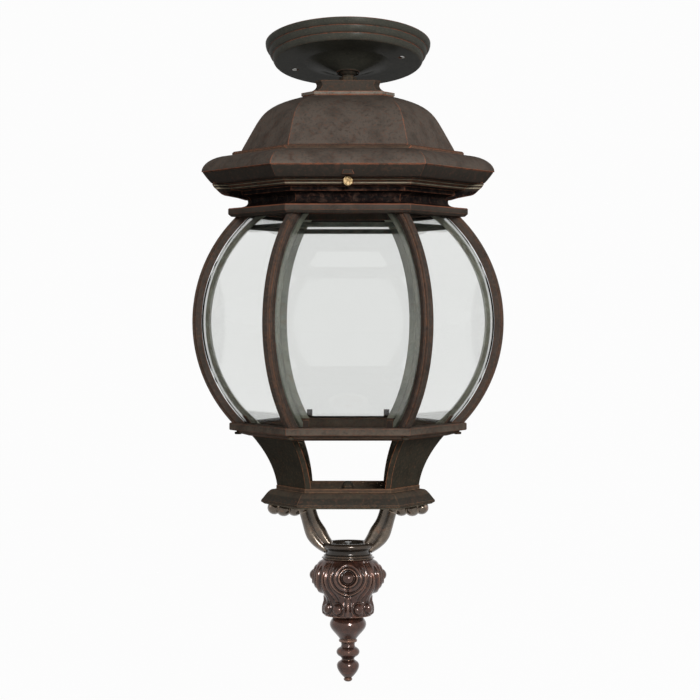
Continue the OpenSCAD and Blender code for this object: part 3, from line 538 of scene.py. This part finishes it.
class Finish(Enum):
    """The finishes of the lantern, each by the name of the real one."""

    # Spun sheet, even greenish black with a low shine and copper on the rims
    CANOPY = AgedBronze("patinated_spun_canopy", body="3d3d37", cloud="2c2d28", tint="45413a", rubbed="8c523d",
                        fleck="5a554a", inside="e4e4e0", wear=1.0, roughness=0.42, grain=0.2, lacquer=0.1,
                        speckle_mm=0.9, edge_mm=1.0)
    # Sand-cast parts, dull brown and speckled, with copper along the arrises
    NECK = AgedBronze("oil_rubbed_bronze_neck", body="423c36", cloud="322e29", tint="533d31", rubbed="8a6047")
    ROOF = AgedBronze(
        "oil_rubbed_bronze_roof_painted_highlights",
        # By height: the lighter band peaking at -78 mm along the eave's front edge and the cream band from -28.8 mm
        # on the top plate are painted highlights
        levels=(
            (-130.6, "443e38"), (-105.0, "3a3530"), (-102.0, "4a4640"), (-93.0, "45413b"), (-92.2, "5a524b"),
            (-79.0, "564d46"), (-78.0, "67574a"), (-75.4, "4b3a2f"), (-74.0, "5b524b"), (-30.0, "574f48"),
            (-28.8, "7e786e"), (-25.8, "7a746a"),
        ),
        rubbed="a8664a",
        wear=1.0,
        edge_mm=1.4,
    )
    CAGE_HEAD = AgedBronze(
        "oil_rubbed_bronze_cage_head_painted_light",
        # By height: the near-black band from -123.3 to -110 mm is painted shade in the recess under the eave, and
        # the two cream lines near -106.6 and -104.2 mm are painted highlights along the moulding
        levels=(
            (-142.4, "4a4740"), (-130.6, "3d3934"), (-124.4, "48413b"), (-124.1, "87543f"), (-123.5, "87543f"),
            (-123.3, "120f10"), (-110.0, "0f0d0e"), (-107.2, "2f2b27"), (-106.9, "8d8470"), (-106.3, "8d8470"),
            (-106.0, "332e2a"), (-104.6, "332e2a"), (-104.4, "8d8470"), (-103.9, "8d8470"), (-103.6, "332e2a"),
            (-92.9, "38342f"),
        ),
        flecks=0.25,
    )
    RIBS = AgedBronze("oil_rubbed_bronze_ribs", body="433c37", cloud="2c2824", tint="4a3a31", rubbed="875c45",
                      grain=0.3)
    BASE = AgedBronze(
        "oil_rubbed_bronze_base_ring",
        levels=((-316.4, "6a4534"), (-315.0, "5a5148"), (-309.0, "5a5148"), (-305.4, "4d463f")),
    )
    WAIST = AgedBronze("oil_rubbed_bronze_waist", body="39352d", cloud="27251f", tint="43352b", rubbed="a5694a",
                       fleck="5b4a3b", wear=0.9)
    TRAY = AgedBronze(
        "oil_rubbed_bronze_tray_painted_highlight",
        # By height: the cream band on the bottom edge, from -374.5 to -373.7 mm, is a painted highlight
        levels=(
            (-374.5, "8b8474"), (-373.7, "7a7364"), (-373.2, "3f3b35"), (-366.4, "38352f"), (-365.6, "484138"),
            (-361.9, "4c4339"), (-358.5, "5f4a3b"),
        ),
        rubbed="a37a5c",
    )
    # Handled castings, waxed to a shine: black hollows and bright copper crests
    ARMS = AgedBronze("rubbed_bronze_arms", body="5f554a", cloud="2b2621", tint="76523d", rubbed="b8a28e",
                      fleck="8c7a69", flecks=0.25, roughness=0.24, metallic=0.6, grain=0.08, lacquer=0.6,
                      relief=0.8, cloud_mm=15.0, edge_mm=1.2)
    SCROLL = AgedBronze("rubbed_bronze_scrollwork", body="463029", cloud="1d1815", tint="74412f", rubbed="a8846e",
                        fleck="6f4a3b", flecks=0.3, roughness=0.24, metallic=0.5, grain=0.1, lacquer=0.7,
                        relief=0.85, cloud_mm=11.0, tint_mm=8.0)
    CUP = AgedBronze("dark_bronze_cup", body="35302a", cloud="1d1a17", tint="453428", rubbed="94765f",
                     fleck="5a4a3d", flecks=0.3, roughness=0.22, metallic=0.5, grain=0.1, lacquer=0.6,
                     relief=0.4)
    # Pale grey-green on the strips inside the cage: a painted highlight of the glass edges beside them
    STRIPS = AgedBronze("strips_painted_glass_edge_highlight", body="8f9184", cloud="5d6058", tint="8a7c68", rubbed="a9a594",
                        fleck="a8a898", flecks=0.3, wear=0.4)
    GREEN = AgedBronze("verdigris_ledge", body="50564f", cloud="3c413c", tint="5d5449", rubbed="8a8378", wear=0.4)
    # Knurled brass, dark in its cuts and bright where fingers turn it
    KNURLED = AgedBronze("aged_knurled_brass", body="857050", cloud="43372a", tint="84694b", rubbed="d8c19a",
                         fleck="cbb48c", metallic=0.8, roughness=0.3, edge_mm=0.5)
    # Nuts and screws blackened in a bath, almost without shine
    DARK = AgedBronze("blackened_brass_hardware", body="3a362f", cloud="26231f", tint="443a31", rubbed="7a6048")
    # Bright metal with fine lathe marks, and grey plating with a soft shine
    BRASS = PlainMetal("turned_brass", "b08d4c", "94713a")
    STEEL = PlainMetal("zinc_plated_steel", "8f8f8c", "6f6f6c", 0.35)
    # Off-white with a sharp gloss, and cream with a soft one
    PORCELAIN = Glazed("glazed_porcelain", "e6e3da", "dcd8cd", 0.15)
    LEAD = Glazed("wire_insulation", "ddd8c8", "d2ccb9", 0.45)
    GLASS = ClearGlass()
    PAPER = WhiteSweep()


class Palette:
    """Builds each finish once and hands it out."""

    def __init__(self) -> None:
        """Starts with no finish made."""
        self._made: dict[Finish, bpy.types.Material] = {}

    def __getitem__(self, finish: Finish) -> bpy.types.Material:
        """Returns the material of a finish, making it on first use."""
        if finish not in self._made:
            self._made[finish] = finish.value.build()
        return self._made[finish]


# ------------------------------------------------------------------ studio


@dataclass
class Studio:
    """White sweep, soft lamps and the camera at the photograph's place."""

    palette: Palette
    distance: float = 1.828
    eye_z: float = -0.207
    eye_x: float = 0.0017
    lens: float = 110.6
    pitch: float = 1.15
    sensor: float = 36.0
    near: float = 0.05
    ambient: float = 0.19
    width: float = 8.0
    floor: Span = (-3.4, -0.66)
    wall: Span = (2.6, 3.2)
    bend: float = 0.8
    bend_steps: int = 9
    aim: tuple[float, float, float] = (0.0, 0.0, -0.25)
    # Name, place, size in metres and power in watts
    plan: tuple[tuple[str, tuple[float, float, float], float, float], ...] = (
        ("key", (0.6, -2.5, 0.6), 0.55, 64.0),
        ("left", (-2.2, -0.6, 0.1), 1.2, 2.0),
        ("right", (2.2, -0.6, 0.2), 1.2, 3.0),
        ("back_left", (-1.5, 1.5, 0.5), 0.8, 10.0),
        ("back_right", (1.5, 1.5, 0.5), 0.8, 10.0),
    )

    def sweep(self) -> None:
        """Makes the pale floor that curves up behind the lantern."""
        mesh = bmesh.new()
        start = [mesh.verts.new((-self.width / 2, y, z)) for y, z in self._sweep_line()]
        edges = [mesh.edges.new(pair) for pair in zip(start, start[1:])]
        out = bmesh.ops.extrude_edge_only(mesh, edges=edges)
        moved = [v for v in out["geom"] if isinstance(v, bmesh.types.BMVert)]
        bmesh.ops.translate(mesh, verts=moved, vec=(self.width, 0.0, 0.0))
        data = bpy.data.meshes.new("studio_sweep")
        mesh.to_mesh(data)
        mesh.free()
        sweep = bpy.data.objects.new("studio_sweep", data)
        bpy.context.scene.collection.objects.link(sweep)
        dress(sweep, self.palette[Finish.PAPER])

    def _sweep_line(self) -> list[tuple[float, float]]:
        """Side view of the sweep, from the front of the floor to the top of the wall.

        Returns:
            Points (y, z), in metres.
        """
        (back, _), (_, floor), bend = self.wall, self.floor, self.bend
        angles = [math.radians(90 / self.bend_steps * i) for i in range(self.bend_steps + 1)]
        corner = [(back - bend + bend * math.sin(a), floor + bend - bend * math.cos(a)) for a in angles]
        return [self.floor] + corner + [self.wall]

    def lamps(self) -> None:
        """Places soft lamps: a key by the camera, weak ones at the sides and back.

        The glass shows none of them, and only the key makes highlights.
        """
        for name, place, size, power in self.plan:
            light = bpy.data.lights.new("lamp_" + name, "AREA")
            light.shape = "SQUARE"
            light.size = size
            light.energy = power
            lamp = bpy.data.objects.new("lamp_" + name, light)
            lamp.location = place
            lamp.rotation_euler = (Vector(self.aim) - Vector(place)).to_track_quat("-Z", "Y").to_euler()
            lamp.visible_camera = False
            lamp.visible_transmission = False
            lamp.visible_glossy = name == "key"
            bpy.context.scene.collection.objects.link(lamp)

    def world(self) -> None:
        """Sets the sky: white to the lens, metal and glass, grey as light."""
        world = bpy.data.worlds.new("studio_sky")
        bpy.context.scene.world = world
        world.use_nodes = True
        tree = world.node_tree
        tree.nodes.clear()
        strength = add_node(
            tree, "MapRange", inputs={"Value": seen_rays(tree), "To Min": self.ambient, "To Max": 1.0}
        )
        sky = add_node(
            tree,
            "Background",
            inputs={"Color": WHITE, "Strength": strength.outputs["Result"]},
        )
        add_node(tree, "OutputWorld", inputs={"Surface": sky.outputs["Background"]})

    def camera(self) -> None:
        """Sets the camera where the photograph was taken from."""
        data = bpy.data.cameras.new("camera")
        data.lens = self.lens
        data.sensor_width = self.sensor
        data.clip_start = self.near
        camera = bpy.data.objects.new("camera", data)
        camera.location = (self.eye_x, -self.distance, self.eye_z)
        camera.rotation_euler = (math.radians(90 - self.pitch), 0.0, 0.0)
        bpy.context.scene.collection.objects.link(camera)
        bpy.context.scene.camera = camera

    def build(self) -> None:
        """Builds the whole studio."""
        self.camera()
        self.sweep()
        self.lamps()
        self.world()
        bpy.context.scene.view_settings.view_transform = "Standard"


# ------------------------------------------------------------------ frame's own nodes


@dataclass
class CarriedNodes:
    """The frame's own nodes, each with its real finish.

    The plan names a node, or the start of its name where that ends with "_".
    """

    frame: dict[str, Any]
    palette: Palette
    plan: dict[Finish, tuple[str, ...]] = field(
        default_factory=lambda: {
            Finish.CANOPY: ("canopy",),
            Finish.NECK: ("neck",),
            Finish.ROOF: ("roof",),
            Finish.CAGE_HEAD: ("cage_head",),
            Finish.RIBS: ("rib_", "glass_clips"),
            Finish.STRIPS: ("strip_",),
            Finish.GREEN: ("inner_ring",),
            Finish.BASE: ("base_ring",),
            Finish.WAIST: ("waist_left", "waist_right"),
            Finish.TRAY: ("tray",),
            Finish.ARMS: ("arm_left", "arm_right"),
            Finish.SCROLL: ("leaf_body", "finial"),
            Finish.CUP: ("cup",),
            Finish.GLASS: ("glass_",),
            Finish.KNURLED: ("thumbscrew_",),
            Finish.DARK: ("swivel_washer", "hanger_nut", "jam_nut", "hanger_tube", "rib_screws", "cap_nut",
                          "tray_screws"),
            Finish.BRASS: ("screw_shell", "centre_contact", "earth_screw"),
            Finish.STEEL: ("roof_nut", "clamp_nuts", "finial_rod", "finial_nut"),
            Finish.PORCELAIN: ("lampholder_cap", "lampholder_body"),
            Finish.LEAD: ("lamp_leads",),
        }
    )

    def finish_of(self, name: str) -> Finish:
        """Finds the finish of one node.

        Args:
            name: Name of the node.

        Returns:
            Its finish.
        """
        for finish, names in self.plan.items():
            if name in names:
                return finish
        for finish, names in self.plan.items():
            if any(start.endswith("_") and name.startswith(start) for start in names):
                return finish
        raise KeyError(name)

    def build(self) -> None:
        """Dresses every node."""
        for name, obj in self.frame["nodes"].items():
            finish = self.finish_of(name)
            dress(obj, self.palette[finish])
            LOG.info("%s: %s", name, finish.value.name)


# ------------------------------------------------------------------ scrollwork


@dataclass
class Piece:
    """A new piece that stands for one node of the frame."""

    name: str
    node: str
    finish: Finish
    slot: str = "scroll_bronze"
    body: str = "cage"

    def shape(self, mesh: bmesh.types.BMesh) -> None:
        """Builds the piece's mesh, in metres."""
        raise NotImplementedError

    def build(self, palette: Palette) -> bpy.types.Object:
        """Makes the piece, dresses it and puts it in its node's place.

        Args:
            palette: Finishes of the lantern.

        Returns:
            The new object.
        """
        mesh = bmesh.new()
        self.shape(mesh)
        bmesh.ops.remove_doubles(mesh, verts=mesh.verts[:], dist=0.01 * MM)
        bmesh.ops.recalc_face_normals(mesh, faces=mesh.faces[:])
        data = bpy.data.meshes.new(self.name)
        mesh.to_mesh(data)
        mesh.free()
        data.shade_smooth()
        piece = bpy.data.objects.new(self.name, data)
        bpy.context.scene.collection.objects.link(piece)
        dress(piece, palette[self.finish])
        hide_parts(self.node)
        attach(piece, self.body)
        LOG.info("%s stands for %s, %d faces", self.name, self.node, len(data.polygons))
        return piece


def held(value: float) -> float:
    """Holds a value between 0 and 1."""
    return min(1.0, max(0.0, value))


def bump_at(distance: float, width: float) -> float:
    """Height of a rounded ridge, 1 on its crest, at a distance from it."""
    return math.exp(-((distance / width) ** 2))


def dome_at(distance: float, radius: float) -> float:
    """Height of a round dome, 1 in its middle, at a distance from that."""
    return math.sqrt(max(0.0, 1 - (distance / radius) ** 2))


@dataclass(frozen=True)
class Ridge:
    """A rounded ridge along a line, or a groove where its height is negative."""

    at: float
    width: float
    height: float

    def relief(self, distance: float) -> float:
        """Height of the ridge at a distance from the line."""
        return self.height * bump_at(distance - self.at, self.width)


def edges_of(verts: Iterable[bmesh.types.BMVert]) -> list[bmesh.types.BMEdge]:
    """Lists the edges at some points, each once and in the same order each run."""
    return list(dict.fromkeys(edge for vert in verts for edge in vert.link_edges))


def spin_round(mesh: bmesh.types.BMesh, loop: list[bmesh.types.BMVert], sides: int) -> None:
    """Turns a closed outline round the hanging axis.

    Args:
        mesh: Mesh that holds the outline.
        loop: Points of the outline, in order.
        sides: Number of sides of the turned piece.
    """
    edges = [mesh.edges.new(pair) for pair in zip(loop, loop[1:] + loop[:1])]
    bmesh.ops.spin(
        mesh,
        geom=loop + edges,
        axis=(0.0, 0.0, 1.0),
        cent=(0.0, 0.0, 0.0),
        angle=2 * math.pi,
        steps=sides,
        use_merge=True,
    )


@dataclass
class ScrollArm(Piece):
    """One of the two arms: rolled foot under the tray, fluted limb, flared end.

    All sizes are in millimetres, and heights count from the tray's foot.
    """

    turn_deg: float = 0.0
    foot_z: float = -374.5
    depth: float = 6.5
    half_width: float = 7.3
    # Start, end and thickness of the pad, and the rounding of its edges
    pad: tuple[float, float, float] = (31.0, 66.5, 2.6)
    pad_edge: float = 0.6
    # Place from the axis, drop and radius of each lobe
    lobes: tuple[tuple[float, float, float], ...] = (
        (62.6, 3.4, 6.0), (54.6, 4.2, 6.8), (45.4, 4.4, 6.4), (39.0, 3.2, 6.0),
    )
    lobe_shape: tuple[float, float, float] = (1.0, 1.32, 0.96)
    # Control points of the limb's middle line
    line: tuple[Span, ...] = ((36.2, 1.0), (32.4, -12.5), (29.8, -27.0), (16.2, -37.4))
    # By share of the way to the cup: the limb's swelling, slim end and flare
    swelling: Ridge = Ridge(0.66, 0.2, 0.22)
    slim_end: float = 0.2
    slim_power: int = 9
    flare: float = 0.9
    flare_from: float = 0.62
    flare_power: float = 1.5
    # By degrees round the section, and by degrees from the flute's middle
    flute: Ridge = Ridge(90.0, 16.0, -0.34)
    flute_lip: Ridge = Ridge(38.0, 14.0, 0.08)
    steps: int = 30
    segments: int = 48

    def _on_line(self, t: float) -> tuple[Vector, Vector]:
        """Place and direction of the limb's middle line.

        Args:
            t: Share of the way from the foot to the cup.

        Returns:
            Point and unit tangent.
        """
        a, b, c, d = (Vector((x, 0.0, z)) for x, z in self.line)
        u = 1 - t
        point = a * u**3 + b * (3 * u * u * t) + c * (3 * u * t * t) + d * t**3
        slope = (b - a) * (3 * u * u) + (c - b) * (6 * u * t) + (d - c) * (3 * t * t)
        return point, slope.normalized()

    def _frame(self, t: float) -> Matrix:
        """Turns the unit section into its place at a share of the limb."""
        point, tangent = self._on_line(t)
        wide = 1 + self.swelling.relief(t) - self.slim_end * t**self.slim_power
        thick = 1 + self.flare * max(0.0, t - self.flare_from) ** self.flare_power
        across = Vector((tangent.z, 0.0, -tangent.x)) * self.half_width * wide
        deep = Vector((0.0, 1.0, 0.0)) * self.depth * thick
        matrix = Matrix((across, deep, tangent)).transposed().to_4x4()
        matrix.translation = point
        return matrix

    def _press(self, vert: bmesh.types.BMVert) -> None:
        """Presses the flute, with a lip each side, into the round section."""
        angle = abs(math.degrees(math.atan2(vert.co.y, vert.co.x)))
        reach = 1.0 + self.flute.relief(angle) + self.flute_lip.relief(abs(angle - self.flute.at))
        vert.co.xy = vert.co.xy * reach

    def _limb(self, mesh: bmesh.types.BMesh) -> None:
        """Draws the fluted section along the limb's middle line."""
        ring = bmesh.ops.create_circle(mesh, segments=self.segments, radius=1.0)["verts"]
        for vert in ring:
            self._press(vert)
        last = self._frame(0.0)
        bmesh.ops.transform(mesh, matrix=last, verts=ring)
        edges = edges_of(ring)
        bmesh.ops.edgeloop_fill(mesh, edges=edges)
        for step in range(1, self.steps + 1):
            here = self._frame(step / self.steps)
            made = bmesh.ops.extrude_edge_only(mesh, edges=edges)["geom"]
            moved = [g for g in made if isinstance(g, bmesh.types.BMVert)]
            edges = [g for g in made if isinstance(g, bmesh.types.BMEdge)]
            bmesh.ops.transform(mesh, matrix=here @ last.inverted(), verts=moved)
            last = here
        bmesh.ops.edgeloop_fill(mesh, edges=edges)

    def _foot(self, mesh: bmesh.types.BMesh) -> None:
        """Adds the flat pad under the tray and the rolled lobes below it."""
        start, end, thick = self.pad
        size = Matrix.Diagonal((end - start, 2 * self.depth, thick, 1.0))
        place = Matrix.Translation(((start + end) / 2, 0.0, -thick / 2))
        verts = bmesh.ops.create_cube(mesh, size=1.0, matrix=place @ size)["verts"]
        bmesh.ops.bevel(
            mesh, geom=edges_of(verts), offset=self.pad_edge, segments=3, profile=0.5, affect="EDGES", material=-1
        )
        lying = Matrix.Diagonal((*self.lobe_shape, 1.0)) @ Matrix.Rotation(math.pi / 2, 4, "X")
        for x, drop, radius in self.lobes:
            at = Matrix.Translation((x, 0.0, -drop))
            bmesh.ops.create_uvsphere(mesh, u_segments=32, v_segments=20, radius=radius, matrix=at @ lying)

    def shape(self, mesh: bmesh.types.BMesh) -> None:
        """Builds the arm, turned to its side of the tray."""
        self._limb(mesh)
        self._foot(mesh)
        place = Matrix.Scale(MM, 4) @ Matrix.Rotation(math.radians(self.turn_deg), 4, "Z")
        bmesh.ops.transform(mesh, matrix=place @ Matrix.Translation((0.0, 0.0, self.foot_z)), verts=mesh.verts[:])


@dataclass
class ArmCup(Piece):
    """The turned cup between the arms: rolled rim, drawn-in neck, foot ring."""

    foot_z: float = -421.0
    sides: int = 96
    # Radius, and height above the foot, in millimetres
    outline: tuple[Span, ...] = (
        (3.5, 0.0), (20.3, 0.0), (22.0, 0.25), (22.5, 0.7), (22.0, 1.2), (20.8, 1.5), (20.1, 2.0), (20.7, 2.4),
        (20.9, 2.8), (20.2, 3.3), (19.3, 4.0), (18.9, 5.1), (18.9, 6.3), (19.4, 7.5), (20.4, 8.5), (21.4, 9.3),
        (22.1, 10.3), (22.2, 11.3), (21.7, 12.5), (20.6, 13.4), (19.2, 13.8), (17.9, 13.4), (17.0, 12.4),
        (16.6, 11.2), (16.0, 9.0), (14.0, 7.3), (10.0, 6.9), (3.5, 6.9),
    )

    def shape(self, mesh: bmesh.types.BMesh) -> None:
        """Turns the outline round the hanging axis."""
        loop = [mesh.verts.new((r, 0.0, self.foot_z + z)) for r, z in self.outline]
        spin_round(mesh, loop, self.sides)
        bmesh.ops.transform(mesh, matrix=Matrix.Scale(MM, 4), verts=mesh.verts[:])


@dataclass
class LeafBody(Piece):
    """The carved bulb: four volutes in heart-shaped leaves, curls at the foot.

    All sizes are in millimetres. Ridges count from the middle of the ball, from
    the seam between two leaves, or from the middle of the leaf. Heights of the
    volute and the folds count from the middle of the ball, and a fade is the
    length over which a relief comes in.
    """

    top_z: float = -421.0
    height: float = 48.5
    sides: int = 288
    steps: int = 132
    bore_r: float = 3.6
    leaves: int = 4
    # Plain bulb, with places as shares of the height from the top
    top_r: float = 20.3
    widest: float = 29.8
    widest_at: float = 0.3
    waist_r: float = 19.2
    waist_at: float = 0.74
    fall_power: float = 1.3
    foot_swell: float = 1.5
    foot_turn: float = 0.86
    lobe: float = -1.6
    # Volute: ball, rings all round it, rings open at the top, and the cleft
    ball_drop: float = 13.5
    ball_r: float = 4.9
    ball_relief: float = 3.0
    rings: tuple[Ridge, ...] = (
        Ridge(5.6, 0.8, -1.3), Ridge(7.6, 1.1, 1.7), Ridge(9.3, 0.8, -0.8), Ridge(11.2, 2.4, 1.6),
    )
    open_rings: tuple[Ridge, ...] = (Ridge(13.8, 0.7, -0.9), Ridge(15.4, 1.1, 1.9), Ridge(17.4, 0.9, -1.5))
    opening: float = 9.0
    opening_fade: float = 6.0
    cleft: Ridge = Ridge(0.0, 0.8, -2.2)
    cleft_top: float = -4.0
    cleft_foot: float = -15.0
    cleft_fade: float = 2.0
    volute_foot: float = -22.0
    volute_fade: float = 5.0
    # Folds between two leaves, leaning away from the seam higher up
    fold: Ridge = Ridge(1.9, 1.2, 1.7)
    fold_groove: Ridge = Ridge(4.4, 0.7, -1.2)
    fold_lean: float = 0.12
    fold_foot: float = -6.0
    fold_end: float = -26.0
    fold_fade: float = 10.0
    fold_least: float = 0.25
    seam: Ridge = Ridge(0.0, 0.6, -1.9)
    # Foot: middle rib between two curls, each round a centre
    rib: Ridge = Ridge(0.0, 1.3, 1.6)
    rib_groove: Ridge = Ridge(3.0, 0.9, -0.8)
    curls_from: float = 30.0
    curls_fade: float = 5.0
    curl_across: float = 9.6
    curl_down: float = 41.6
    curl_r: float = 4.4
    curl_relief: float = 2.9
    curl_groove: Ridge = Ridge(5.3, 0.8, -1.0)
    # Lengths over which the carving starts at the top and ends at the foot
    top_fade: float = 2.5
    foot_fade: float = 1.5

    def _bulb(self, share: float) -> float:
        """Radius of the plain bulb at a share of its height from the top."""
        if share < self.widest_at:
            return self.top_r + (self.widest - self.top_r) * math.sin(math.pi / 2 * share / self.widest_at)
        if share < self.waist_at:
            fall = ((share - self.widest_at) / (self.waist_at - self.widest_at)) ** self.fall_power
            return self.waist_r + (self.widest - self.waist_r) * (1 + math.cos(math.pi * fall)) / 2
        turn = min(1.0, (share - self.waist_at) / (1 - self.waist_at) * self.foot_turn)
        return self.waist_r + self.foot_swell * math.sin(math.pi * turn)

    def _volute(self, across: float, up: float) -> float:
        """Relief of one leaf: ball, ring, heart-shaped roll and its cleft.

        Args:
            across: Way round the bulb from the leaf's middle.
            up: Height above the middle of the ball.

        Returns:
            Height of the relief.
        """
        far = math.hypot(across, up)
        open_top = held((self.opening - up) / self.opening_fade)
        relief = self.ball_relief * dome_at(far, self.ball_r)
        for ring in self.rings:
            relief += ring.relief(far)
        for ring in self.open_rings:
            relief += ring.relief(far) * open_top
        depth = held((self.cleft_top - up) / self.cleft_fade) * held((up - self.cleft_foot) / self.cleft_fade)
        return relief + self.cleft.relief(across) * depth

    def _folds(self, across: float, up: float, reach: float) -> float:
        """Relief of the long folds that run down between two leaves.

        Args:
            across: Way round from the nearer leaf's middle.
            up: Height above the middle of the ball.
            reach: Way round to the seam between two leaves.

        Returns:
            Height of the relief.
        """
        inward = reach - abs(across)
        lean = inward + self.fold_lean * (up - self.fold_foot)
        fade = max(self.fold_least, held((up - self.fold_end) / self.fold_fade))
        return fade * (self.fold.relief(lean) + self.seam.relief(inward) + self.fold_groove.relief(lean))

    def _curls(self, across: float, down: float) -> float:
        """Relief of the foot: a middle rib between two small curls."""
        fade = held((down - self.curls_from) / self.curls_fade)
        rib = self.rib.relief(across) + self.rib_groove.relief(abs(across))
        far = math.hypot(abs(across) - self.curl_across, down - self.curl_down)
        curl = self.curl_relief * dome_at(far, self.curl_r) + self.curl_groove.relief(far)
        return fade * (rib + curl)

    def _carve(self, vert: bmesh.types.BMVert) -> None:
        """Moves one point of the plain bulb out or in, to the carved surface."""
        down = self.top_z - vert.co.z
        up = self.ball_drop - down
        leaf = 360.0 / self.leaves
        angle = math.degrees(math.atan2(vert.co.y, vert.co.x))
        turn = angle - leaf * round(angle / leaf)
        round_r = self._bulb(down / self.height)
        ends = held(down / self.top_fade) * held((self.height - down) / self.foot_fade)
        relief = self._volute(math.radians(turn) * self.widest, up)
        relief *= held((up - self.volute_foot) / self.volute_fade)
        across = math.radians(turn) * round_r
        relief += self._folds(across, up, math.radians(leaf / 2) * round_r) + self._curls(across, down)
        relief += self.lobe * (2 * abs(turn) / leaf) ** 2
        vert.co.xy = vert.co.xy.normalized() * (round_r + ends * relief)

    def shape(self, mesh: bmesh.types.BMesh) -> None:
        """Turns the bulb round its axis and carves its outside."""
        levels = [i / self.steps for i in range(self.steps + 1)]
        outer = [mesh.verts.new((self._bulb(t), 0.0, self.top_z - self.height * t)) for t in levels]
        bore = [mesh.verts.new((self.bore_r, 0.0, self.top_z - self.height * t)) for t in (1.0, 0.0)]
        spin_round(mesh, outer + bore, self.sides)
        for vert in mesh.verts:
            if math.hypot(vert.co.x, vert.co.y) > 2 * self.bore_r:
                self._carve(vert)
        bmesh.ops.transform(mesh, matrix=Matrix.Scale(MM, 4), verts=mesh.verts[:])


# ------------------------------------------------------------------ main


def main() -> None:
    """Builds the lantern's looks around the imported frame."""
    logging.basicConfig(level=logging.INFO, format="%(name)s %(message)s")
    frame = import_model()
    palette = Palette()
    Studio(palette).build()
    CarriedNodes(frame, palette).build()
    scrollwork = (
        ScrollArm("arm_right_fluted", "arm_right", Finish.ARMS),
        ScrollArm("arm_left_fluted", "arm_left", Finish.ARMS, turn_deg=180.0),
        ArmCup("cup_turned", "cup", Finish.CUP),
        LeafBody("leaf_body_carved", "leaf_body", Finish.SCROLL),
    )
    for piece in scrollwork:
        piece.build(palette)


if __name__ == "__main__":
    main()
